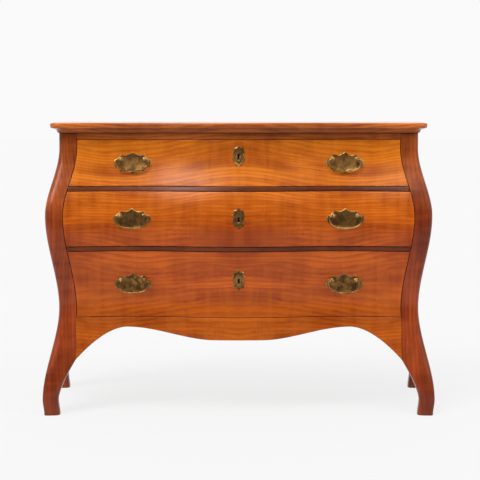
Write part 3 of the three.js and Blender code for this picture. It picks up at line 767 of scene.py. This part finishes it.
def frontLegRing(z):
    knee = chest["kneeLevel"]
    outer = halfWidth(z)
    kneeWidth = halfWidth(knee) - postInner(knee)
    kneeDepth = chest["postBack"] - frontY(halfWidth(knee), knee)
    inner = outer - tapered(z, legSize["footWidth"], kneeWidth) if z < knee else postInner(z)
    front = frontY(outer, z)
    back = front + tapered(z, legSize["footDepth"], kneeDepth) if z < knee else chest["postBack"]
    corners = [(inner, frontY(inner, z)), (outer, front), (outer, back), (inner, back)]
    arris = legSize["arris"]
    radii = footRadii(z, [arris, legSize["postRound"], arris, arris])
    few = legSize["arrisSteps"]
    return roundedRing(corners, radii, [few, legSize["roundSteps"], few, few], z)


def rearLegRing(z):
    knee = chest["kneeLevel"]
    outer = halfWidth(z) + chest["splay"]
    postDepth = chest["backFace"] - chest["rearPostFront"]
    kneeWidth = halfWidth(knee) + chest["splay"] - chest["sideInner"]
    inner = outer - tapered(z, legSize["footWidth"], kneeWidth) if z < knee else chest["sideInner"]
    front = chest["backFace"] - (tapered(z, legSize["footDepth"], postDepth) if z < knee else postDepth)
    corners = [(inner, front), (outer, front), (outer, chest["backFace"]), (inner, chest["backFace"])]
    arris = legSize["arris"]
    few = legSize["arrisSteps"]
    return roundedRing(corners, footRadii(z, [arris] * 4), [few] * 4, z)


def legLevels():
    knee = chest["kneeLevel"]
    below = spread(0, knee, round(knee / legSize["levelStep"]))
    above = spread(knee, caseTop, round((caseTop - knee) / legSize["levelStep"]))
    return below + above[1:]


for place, ringOf in (("front", frontLegRing), ("rear", rearLegRing)):
    right = makeLoft(f"{place}_right_post", [ringOf(z) for z in legLevels()], legWood)
    weightNormals(right)
    left = mirrored(right, f"{place}_left_post")
    placePiece(right, "carcass", f"{place}_right_leg")
    placePiece(left, "carcass", f"{place}_left_leg")
print("posts and legs made")


# Shaped lower edge of the front and of the sides

lowerEdge = {
    # depths below the upper edge of the apron: middle of the front, middle of a side, top of the arches
    "frontMiddle": 0.062,
    "sideMiddle": 0.044,
    "arch": 0.028,
    # shares of the half length: end of the flat middle, and where the arch is highest
    "flatShare": 0.15,
    "archShare": 0.69,
    "kneePower": 1.75,  # how late the arch bends down into the leg
    "columns": 180,
    "rows": 26,
    "round": 0.0022,
    "roundSegments": 3,
}


def edgeHeight(distance, halfLength, middleDepth):
    share = min(1.0, abs(distance) / halfLength)
    middle = apronTop - middleDepth
    arch = apronTop - lowerEdge["arch"]
    if share < lowerEdge["archShare"]:
        t = clamp((share - lowerEdge["flatShare"]) / (lowerEdge["archShare"] - lowerEdge["flatShare"]))
        return mix(middle, arch, ease(t))
    fall = clamp((share - lowerEdge["archShare"]) / (1 - lowerEdge["archShare"]))
    return arch - (arch - chest["kneeLevel"]) * fall ** lowerEdge["kneePower"]


frontHalf = postInner(apronTop)
lowerSetback = setbackOf(*openings["lower"])


def makeApron():
    end = frontHalf - chest["seat"]
    columns = []
    for x in spread(-end, end, lowerEdge["columns"]):
        low = edgeHeight(x, frontHalf, lowerEdge["frontMiddle"])
        columns.append([(x, z) for z in spread(low, apronTop, lowerEdge["rows"])])
    apron = makeFrontSlab("shaped_apron", columns, lambda x: insideY(x, lowerSetback), veneer)
    leavePlain(apron, liningWood, (0, 1, 0))
    addBevel(apron, lowerEdge["round"], lowerEdge["roundSegments"])
    placePiece(apron, "carcass", "front_apron")


sidePanel = {"columns": 70, "rows": 130}


def makeSides():
    middle = (chest["postBack"] + chest["rearPostFront"]) / 2
    half = (chest["rearPostFront"] - chest["postBack"]) / 2
    outer, inner = [], []
    for y in spread(chest["postBack"], chest["rearPostFront"], sidePanel["columns"]):
        low = edgeHeight(y - middle, half, lowerEdge["sideMiddle"])
        heights = spread(low, caseTop, sidePanel["rows"])
        outer.append([Vector((sideX(y, z), y, z)) for z in heights])
        inner.append([Vector((chest["sideInner"], y, z)) for z in heights])
    right = makeSlab("right_swelling_side", outer, inner, sideVeneer)
    leavePlain(right, runnerWood, (-1, 0, 0))
    addBevel(right, lowerEdge["round"], lowerEdge["roundSegments"])
    left = mirrored(right, "left_swelling_side")
    placePiece(right, "carcass", "right_side_panel")
    placePiece(left, "carcass", "left_side_panel")


makeApron()
makeSides()
print("apron and sides made")


# Top board

topBoard = {
    "overhang": 0.024,
    "cornerRound": 0.034,
    "frontSteps": 110,
    "cornerSteps": 12,
    "sideSteps": 50,
    "sharpAngle": 32,
    # curves of the moulded edge, upwards: start, pull and end as shares of the overhang cut back and of the
    # thickness, and the steps of the curve
    "moulding": (
        ((0.78, 0.0), (0.74, 0.36), (0.32, 0.42), 8),  # cove
        ((0.32, 0.42), (0.14, 0.44), (0.14, 0.50), 2),  # fillet
        ((0.06, 0.50), (-0.02, 0.74), (0.05, 0.90), 8),  # nose
        ((0.05, 0.90), (0.09, 0.99), (0.22, 1.0), 4),  # eased upper edge
    ),
}


# Right half of the outline, from the middle of the front round to the back.
def topHalfOutline(overhang):
    outer = chest["neckHalf"] + overhang
    around = topBoard["cornerRound"]

    def edge(x):
        return frontY(x, caseTop) - overhang

    front = [(x, edge(x)) for x in spread(0, outer - around, topBoard["frontSteps"])]
    turn = bezier(front.pop(), (outer, edge(outer)), (outer, edge(outer) + around), topBoard["cornerSteps"])
    sides = spread(edge(outer) + around, chest["backFace"], topBoard["sideSteps"])[1:]
    return front + turn + [(sideX(y, caseTop) + overhang, y) for y in sides]


def topRing(cutShare, riseShare):
    right = topHalfOutline(topBoard["overhang"] * (1 - cutShare))
    left = [(-x, y) for x, y in reversed(right[1:])]
    z = mix(topLow.z, topHigh.z, riseShare)
    return [Vector((x, y, z)) for x, y in left + right]


def makeTop():
    profile = []
    for curve in topBoard["moulding"]:
        profile += [p for p in bezier(*curve) if not profile or p != profile[-1]]
    board = makeLoft("moulded_top", [topRing(*p) for p in profile], topVeneer, topBoard["sharpAngle"])
    weightNormals(board)
    placePiece(board, "carcass", "top_board")


makeTop()


# Rails across the front, with their edges on the surface of the front

crossRail = {
    "columns": 150,
    "rows": 6,
    "round": 0.0012,
    "boltRoom": 0.0007,
    "boltTravel": 0.008,
    "toolOverrun": 0.004,  # how far the cut starts below the rail
}


def makeCrossRail(name, node, drawer):
    low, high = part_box(node)
    columns = [[(x, z) for z in spread(low.z, high.z, crossRail["rows"])]
               for x in spread(-high.x, high.x, crossRail["columns"])]
    rail = makeFrontSlab(name, columns, lambda x: chest["postBack"], edgeWood)
    roundThenCut(rail, crossRail["round"], [boltMortise(drawer, low.z)])
    placePiece(rail, "carcass", node)


# Room in the underside of a rail for the bolt of the lock below it.
def boltMortise(drawer, underside):
    boltLow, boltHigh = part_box(f"{drawer}_lock_bolt")
    room = crossRail["boltRoom"]
    half = boltHigh.x + room
    low, high = underside - crossRail["toolOverrun"], boltHigh.z + crossRail["boltTravel"] + room
    outline = [(-half, low), (half, low), (half, high), (-half, high)]
    return prismParts(outline, boltLow.y - room, boltHigh.y + room)


makeCrossRail("rail_under_top", "top_front_rail", "upper")
makeCrossRail("rail_over_middle_drawer", "upper_divider", "middle")
makeCrossRail("rail_over_lower_drawer", "lower_divider", "lower")
print("top and rails made")


# Drawer fronts

handleLook = {
    "postSpacing": 0.066,
    "collarRadius": 0.0062,
    "collarThickness": 0.0026,
    "neckRadius": 0.0032,
    "ballRadius": 0.0056,
    "studRadius": 0.0024,
    "studHole": 0.0028,
    "nutRadius": 0.0055,
    "nutThickness": 0.0036,
    "nutSeat": 0.0008,
    "studEnd": 0.002,
    "waistCut": 0.22,  # share of the post's neck
    "waistPlaces": (0.2, 0.4, 0.6, 0.8),
    "collarFlat": 0.8,  # share of the collar's radius
    "collarEase": 0.0008,
    "collarSink": 0.0004,
    "studSink": 0.0008,
    "plateLevel": 0.7,  # share of the plate's thickness at which posts meet it
    "bailRadius": 0.0022,
    # grip: how much thicker it is, over what share of the bail, and what share comes off everywhere
    "gripSwell": 0.0008,
    "gripShare": 0.1,
    "gripInset": 0.7,
    # small rings beside the grip: places and length as shares of the bail, and height
    "knopPlaces": (0.36, 0.64),
    "knopShare": 0.008,
    "knopRise": 0.0007,
    "sides": 28,
    "ballSteps": 12,
    "bailSteps": 110,
    "bailSides": 14,
    "curveSteps": 12,
    "bailSharpAngle": 50,
    "plateSharpAngle": 42,
    "halfSpan": 0.045,
    "drop": 0.034,
    "pivotInset": 0.004,
    "pivotEndShare": 0.9,
    # right half of the bail below its pivot: shares of the half span and of the drop
    "halfShares": ((0.985, -0.1), (1, -0.3), (0.86, -0.68), (0.5, -0.93), (0, -1)),
}

drawerFront = {
    "columns": 170,
    "rows": 40,
    "round": 0.0011,
    "grooveDepth": 0.005,
    "grooveSteps": 60,
    "lockHalf": 0.032,
}
keyhole = {"radius": 0.0036, "slotWidth": 0.0048, "slotDrop": 0.011, "steps": 20}


def keyholeOutline(level):
    radius = keyhole["radius"]
    half = keyhole["slotWidth"] / 2
    start = math.asin(half / radius)
    turn = spread(-math.pi / 2 + start, 1.5 * math.pi - start, keyhole["steps"])
    around = [(radius * math.cos(a), level + radius * math.sin(a)) for a in turn]
    low = level - keyhole["slotDrop"]
    return around + [(-half, low), (half, low)]


def nodeMiddle(node):
    low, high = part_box(node)
    return (low + high) / 2


def keyLevelOf(drawer):
    return nodeMiddle(f"{drawer}_escutcheon").z


# Level of the pivots that a bail swings on
def handleLevelOf(drawer):
    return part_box(f"{drawer}_right_bail")[1].z - handleLook["bailRadius"]


def makeDrawerFront(drawer):
    low, high = openings[drawer]
    setback = setbackOf(low, high)
    bottom, top = low + chest["faceGap"], high - chest["faceGap"]
    ends = [(postInner(z) - chest["faceGap"], z) for z in spread(bottom, top, drawerFront["rows"])]
    columns = [[(share * end, z) for end, z in ends] for share in spread(-1, 1, drawerFront["columns"])]
    face = makeFrontSlab(f"{drawer}_swelling_front", columns, lambda x: insideY(x, setback), veneer)
    roundThenCut(face, drawerFront["round"], frontTools(drawer, setback, top))
    leavePlain(face, liningWood, (0, 1, 0))
    placePiece(face, f"{drawer}_drawer", f"{drawer}_drawer_front")


# Points and faces of what is cut out of a drawer front.
def frontTools(drawer, setback, top):
    caseLow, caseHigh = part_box(f"{drawer}_lock_case")
    seat = chest["seat"]
    room = drawerFront["lockHalf"] + seat
    inside = caseHigh.y + chest["wave"]
    mortise = prismParts(
        [(-room, caseLow.z - seat), (room, caseLow.z - seat), (room, top + room), (-room, top + room)],
        caseLow.y - seat, inside)
    slot = prismParts(keyholeOutline(keyLevelOf(drawer)), cadLow.y - seat, inside - seat)
    boardLow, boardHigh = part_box(f"{drawer}_drawer_bottom")
    half, low, high = boardHigh.x + seat, boardLow.z - seat, boardHigh.z + seat
    places = spread(-half, half, drawerFront["grooveSteps"])
    depth = drawerFront["grooveDepth"] + seat
    edge = [(x, insideY(x, setback) - depth) for x in places] + [(half, 0), (-half, 0)]
    groove = loftParts([[Vector((x, y, z)) for x, y in edge] for z in (low, high)])
    tools = [mortise, slot, groove]
    level, radius, sides = handleLevelOf(drawer), handleLook["studHole"], handleLook["sides"]
    hole = [(0.0, cadLow.y), (radius, cadLow.y), (radius, 0.0), (0.0, 0.0)]
    for side in (-1, 1):
        for post in (-1, 1):
            x = side * chest["waveHalf"] + post * handleLook["postSpacing"] / 2
            tools.append(turnedParts(x, level, hole, sides))
    return tools


for drawer in openings:
    makeDrawerFront(drawer)
print("drawer fronts made")


# Handles and keyhole plates

plateLook = {
    "halfWidth": 0.052,
    "halfHeight": 0.031,
    "thickness": 0.002,
    # quarter of the outline as three curves: shares of the half width and half height
    "quarterShares": (((1, 0), (1.0, 0.2), (0.93, 0.34)),
                      ((0.93, 0.34), (0.72, 0.38), (0.63, 0.78)),
                      ((0.63, 0.78), (0.30, 0.52), (0, 1))),
    "curveSteps": 14,
    "innerRings": 4,
    # share of the way out, height over the thickness
    "reliefShares": ((0.0, 0.75), (0.55, 0.72), (0.80, 0.66), (0.84, 0.68), (0.87, 0.92), (0.90, 1.0),
                     (0.93, 0.92), (0.955, 0.76), (0.98, 0.62), (1.0, 0.42)),
}
keyPlateLook = {
    "halfWidth": 0.019,
    "halfHeight": 0.031,
    "thickness": 0.00165,
    "quarterShares": (((0.72, 0), (0.78, 0.22), (1, 0.3)),
                      ((1, 0.3), (0.62, 0.42), (0.74, 0.74)),
                      ((0.74, 0.74), (0.30, 0.66), (0, 1))),
    "curveSteps": 10,
    "innerRings": 4,
    "reliefShares": ((0.0, 0.5), (0.08, 0.95), (0.2, 1.15), (0.3, 0.85), (0.5, 0.78), (0.72, 0.74),
                     (0.79, 0.82), (0.84, 1.12), (0.90, 1.16), (0.94, 0.8), (1.0, 0.42)),
}


def wholeOutline(look):
    quarter = []
    for curve in look["quarterShares"]:
        quarter += bezier(*curve, look["curveSteps"])[:-1]
    quarter.append(look["quarterShares"][-1][-1])
    first = [(a * look["halfWidth"], b * look["halfHeight"]) for a, b in quarter]
    upper = first + [(-a, b) for a, b in reversed(first[:-1])]
    return upper + [(a, -b) for a, b in reversed(upper[1:-1])]


def relief(look, share):
    stations = look["reliefShares"]
    for (start, low), (end, high) in zip(stations, stations[1:]):
        if share <= end:
            return mix(low, high, (share - start) / (end - start))
    return stations[-1][1]


# A plate that lies on the front, from an inner outline (or its middle) to its outer one.
def layPlate(look, middle, innerOutline=None):
    outline = wholeOutline(look)
    count = len(outline)
    shares = [s for s, _ in look["reliefShares"]]
    rings = look["innerRings"]
    shares = sorted(set(shares + [mix(0.0, shares[1], k / rings) for k in range(rings)]))
    if innerOutline is None:
        innerOutline = [(0.0, 0.0)] * count
        shares = shares[1:]
    points, faces = [], []
    for side in ("front", "back"):
        for share in shares:
            lift = chest["seat"] + (relief(look, share) * look["thickness"] if side == "front" else 0)
            for (a, b), (c, d) in zip(innerOutline, outline):
                x, z = middle[0] + mix(a, c, share), middle[1] + mix(b, d, share)
                points.append(Vector((x, frontY(x, z) - lift, z)))
    rings = len(shares)
    half = rings * count
    front = ringFaces(rings, count)
    faces += [tuple(reversed(f)) for f in front] + [tuple(half + i for i in f) for f in front]
    rim = (rings - 1) * count
    for j in range(count):
        k = (j + 1) % count
        faces.append((rim + j, half + rim + j, half + rim + k, rim + k))
    return points, faces, count, half


# Closes both skins of a plate that has no hole.
def closeMiddle(points, faces, count, half, middle, thickness):
    x, z = middle
    for start, lift, flip in ((0, thickness, False), (half, 0, True)):
        points.append(Vector((x, frontY(x, z) - chest["seat"] - lift, z)))
        tip = len(points) - 1
        for j in range(count):
            face = (tip, start + j, start + (j + 1) % count)
            faces.append(tuple(reversed(face)) if flip else face)


# Half section of a post from front to back: ball, waist, collar, stud and nut.
def postProfile(axisY, plateY, nutFront):
    look = handleLook
    radius, neck = look["ballRadius"], look["neckRadius"]
    end = math.pi - math.asin(neck / radius)
    ball = [(radius * math.sin(a), axisY - radius * math.cos(a)) for a in spread(0, end, look["ballSteps"])]
    neckBack = plateY - look["collarThickness"]
    neckFront = ball[-1][1]
    waist = [(neck * (1 - look["waistCut"] * math.sin(math.pi * t)), mix(neckFront, neckBack, t))
             for t in look["waistPlaces"]]
    collar, stud, nut = look["collarRadius"], look["studRadius"], look["nutRadius"]
    nutBack = nutFront + look["nutThickness"]
    end = nutBack + look["studEnd"]
    return ball + waist + [
        (neck, neckBack), (collar * look["collarFlat"], neckBack), (collar, neckBack + look["collarEase"]),
        (collar, plateY + look["collarSink"]), (stud, plateY + look["studSink"]), (stud, nutFront),
        (nut, nutFront), (nut, nutBack), (stud, nutBack), (stud, end), (0.0, end)]


# A smooth path through the points.
def catmull(points, steps):
    path = []
    padded = [points[0] * 2 - points[1]] + points + [points[-1] * 2 - points[-2]]
    for i in range(1, len(padded) - 2):
        p0, p1, p2, p3 = padded[i - 1:i + 3]
        for k in range(steps):
            t = k / steps
            path.append(0.5 * (2 * p1 + (p2 - p0) * t + (2 * p0 - 5 * p1 + 4 * p2 - p3) * t * t
                               + (3 * p1 - p0 - 3 * p2 + p3) * t ** 3))
    path.append(points[-1])
    return path


# The same path in steps of equal length.
def evenPath(path, count):
    lengths = [0.0]
    for a, b in zip(path, path[1:]):
        lengths.append(lengths[-1] + (b - a).length)
    even, at = [], 0
    for k in range(count + 1):
        target = lengths[-1] * k / count
        while at < len(path) - 2 and lengths[at + 1] < target:
            at += 1
        t = (target - lengths[at]) / (lengths[at + 1] - lengths[at])
        even.append(path[at].lerp(path[at + 1], clamp(t)))
    return even


def makeBail(name, middleX, axisY, level):
    look = handleLook
    half, ball = look["halfSpan"], look["ballRadius"]
    spacing = look["postSpacing"] / 2
    right = [(spacing - look["pivotInset"], 0), (spacing + ball / 2, 0), (spacing + ball, 0),
             (half * look["pivotEndShare"], 0)]
    right += [(a * half, b * look["drop"]) for a, b in look["halfShares"]]
    left = [(-a, b) for a, b in right[:-1]]
    points = [Vector((a, 0, b)) for a, b in left + right[::-1]]
    path = evenPath(catmull(points, look["curveSteps"]), look["bailSteps"])
    rings = []
    for i, p in enumerate(path):
        ahead = path[min(i + 1, len(path) - 1)] - path[max(i - 1, 0)]
        across = Vector((ahead.z, 0, -ahead.x)).normalized()
        share = i / (len(path) - 1)
        swell = math.exp(-((share - 0.5) / look["gripShare"]) ** 2) - look["gripInset"]
        radius = look["bailRadius"] + look["gripSwell"] * swell
        for knop in look["knopPlaces"]:
            radius += look["knopRise"] * math.exp(-((share - knop) / look["knopShare"]) ** 2)
        ring = []
        for k in range(look["bailSides"]):
            a = 2 * math.pi * k / look["bailSides"]
            side = across * math.cos(a) + Vector((0, 1, 0)) * math.sin(a)
            ring.append(Vector((middleX, axisY, level)) + p + side * radius)
        rings.append(ring)
    return makeLoft(name, rings, bronze, look["bailSharpAngle"])


def makeHandle(drawer, side):
    plateNode = f"{drawer}_{side}_handle_plate"
    bailNode = f"{drawer}_{side}_bail"
    plateMiddle = nodeMiddle(plateNode)
    middle = (plateMiddle.x, plateMiddle.z)
    axisY = nodeMiddle(bailNode).y
    level = handleLevelOf(drawer)
    points, faces, count, half = layPlate(plateLook, middle)
    closeMiddle(points, faces, count, half, middle, plateLook["thickness"] * relief(plateLook, 0))
    parts = [(points, faces)]
    low, high = openings[drawer]
    for sign in (-1, 1):
        x = middle[0] + sign * handleLook["postSpacing"] / 2
        plateY = frontY(x, level) - chest["seat"] - plateLook["thickness"] * handleLook["plateLevel"]
        inside = insideY(x, setbackOf(low, high))
        profile = postProfile(axisY, plateY, inside + handleLook["nutSeat"])
        parts.append(turnedParts(x, level, profile, handleLook["sides"]))
    points, faces = joinParts(parts)
    sharpAngle = handleLook["plateSharpAngle"]
    plate = makePiece(f"{drawer}_{side}_scalloped_backplate", points, faces, bronze, sharpAngle)
    bail = makeBail(f"{drawer}_{side}_swinging_bail", middle[0], axisY, level)
    placePiece(plate, f"{drawer}_drawer", plateNode)
    placePiece(bail, bailNode, bailNode)


def makeKeyPlate(drawer):
    node = f"{drawer}_escutcheon"
    level = keyLevelOf(drawer)
    outline = wholeOutline(keyPlateLook)
    hole = [nearHole(a, b) for a, b in outline]
    points, faces, count, half = layPlate(keyPlateLook, (0.0, level), hole)
    for j in range(count):
        k = (j + 1) % count
        faces.append((j, k, half + k, half + j))
    plate = makePiece(f"{drawer}_key_plate", points, faces, bronze, handleLook["plateSharpAngle"])
    placePiece(plate, f"{drawer}_drawer", node)


# The point of the keyhole's edge that lies towards a point of the plate's outline.
def nearHole(a, b):
    radius, half, drop = keyhole["radius"], keyhole["slotWidth"] / 2, keyhole["slotDrop"]
    length = math.hypot(a, b)
    x, z = a / length, b / length
    if z < 0 and abs(x) * drop <= half * -z:
        return (x / -z * drop, -drop)
    if z < 0 and radius * abs(x) < half:
        return (math.copysign(half, x), half * z / abs(x))
    return (radius * x, radius * z)


for drawer in openings:
    for side in ("left", "right"):
        makeHandle(drawer, side)
    makeKeyPlate(drawer)
print("handles and keyhole plates made")


# Boards that keep the model's own shape

boardEdge = {"round": 0.0006, "joinWithin": 0.00002}
boardFinish = {"back_panel": frameWood, "bottom_board": frameWood}
for side in ("left", "right"):
    for node in (f"upper_{side}_runner", f"middle_{side}_runner", f"lower_{side}_guide"):
        boardFinish[node] = runnerWood
for drawer in openings:
    boardFinish[f"{drawer}_drawer_stop"] = frameWood
    for part, finish in (("drawer_back", liningWood), ("drawer_bottom", liningWood),
                         ("drawer_left_side", acrossWood), ("drawer_right_side", acrossWood),
                         ("lock_case", iron), ("lock_bolt", iron)):
        boardFinish[f"{drawer}_{part}"] = finish

for node, finish in boardFinish.items():
    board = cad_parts[node]
    for slot in board.material_slots:
        slot.material = finish
    # the model's faces don't share vertices, and a bevel needs them joined
    board.modifiers.new("joinFaces", "WELD").merge_threshold = boardEdge["joinWithin"]
    addBevel(board, boardEdge["round"])
print("plain boards finished")


# Floor, light and camera

studio = {
    "floorHalf": 40.0,
    "floorFront": 1.7,
    "floorTone": (0.085, 0.085, 0.085, 1),
    "floorRough": 0.9,
    "floorGlow": 0.80,  # stands in for the light that a wide white floor throws back
    "backdrop": 0.955,  # brightness that the camera sees behind the chest
    "ambient": 0.5,
    "dimAmbient": 0.12,  # seen in the polish of the front, behind the camera
    "dimAngles": (25.0, 65.0),
    "cameraDistance": 4.5,
    "cameraHeight": 0.858,
    "lens": 121.9,
    "aim": (0.0037, -0.25, 0.4955),
}
softboxes = (
    # towards the light, half angles of its even middle and of its edge in degrees, strength
    ((-0.461, -0.612, 0.643), 9.0, 16.0, 9.6),
    ((-0.12, -0.45, 0.88), 12.0, 22.0, 7.4),
    ((0.67, -0.47, 0.574), 8.0, 25.0, 2.2),
    ((0.0, 0.65, 0.76), 15.0, 50.0, 0.8),
    ((0.0, 1.0, 0.08), 12.0, 35.0, 0.45),
)


def makeFloor():
    half, front = studio["floorHalf"], -studio["floorFront"]
    corners = [(-half, front, 0), (half, front, 0), (half, half, 0), (-half, half, 0)]
    material, _, shader = newMaterial("pale_floor")
    shader.inputs["Base Color"].default_value = studio["floorTone"]
    shader.inputs["Roughness"].default_value = studio["floorRough"]
    shader.inputs["Specular IOR Level"].default_value = 0.0
    shader.inputs["Emission Color"].default_value = (1, 1, 1, 1)
    shader.inputs["Emission Strength"].default_value = studio["floorGlow"]
    makePiece("floor", corners, [(0, 1, 2, 3)], material)


def makeLight():
    world = bpy.data.worlds.new("softStudio")
    bpy.context.scene.world = world
    world.use_nodes = True
    tree = world.node_tree
    tree.nodes.clear()
    direction = addNode(tree, "TexCoord").outputs["Generated"]

    def lobe(towards, inner, outer, start, strength):
        dot = vectorNode(tree, "DOT_PRODUCT", direction, tuple(Vector(towards).normalized()))
        return rangeNode(
            tree, dot, math.cos(math.radians(outer)), math.cos(math.radians(inner)), start, strength)

    total = lobe((0, -1, 0), *studio["dimAngles"], studio["ambient"], studio["dimAmbient"])
    for towards, inner, outer, strength in softboxes:
        total = mathNode(tree, "ADD", lobe(towards, inner, outer, 0.0, strength), total)
    seen = addNode(tree, "LightPath").outputs["Is Camera Ray"]
    shown = addNode(tree, "Mix", (seen, None, total, studio["backdrop"]), data_type="FLOAT").outputs[0]
    background = addNode(tree, "Background", ((1, 1, 1, 1), shown)).outputs[0]
    addNode(tree, "OutputWorld", (background,))


def makeCamera():
    lens = bpy.data.cameras.new("camera")
    lens.lens = studio["lens"]
    camera = bpy.data.objects.new("camera", lens)
    bpy.context.scene.collection.objects.link(camera)
    target = Vector(studio["aim"])
    camera.location = Vector((target.x, target.y - studio["cameraDistance"], studio["cameraHeight"]))
    camera.rotation_euler = (target - camera.location).to_track_quat("-Z", "Y").to_euler()
    bpy.context.scene.camera = camera


makeFloor()
makeLight()
makeCamera()
bpy.context.scene.view_settings.view_transform = "Standard"
print("studio made")
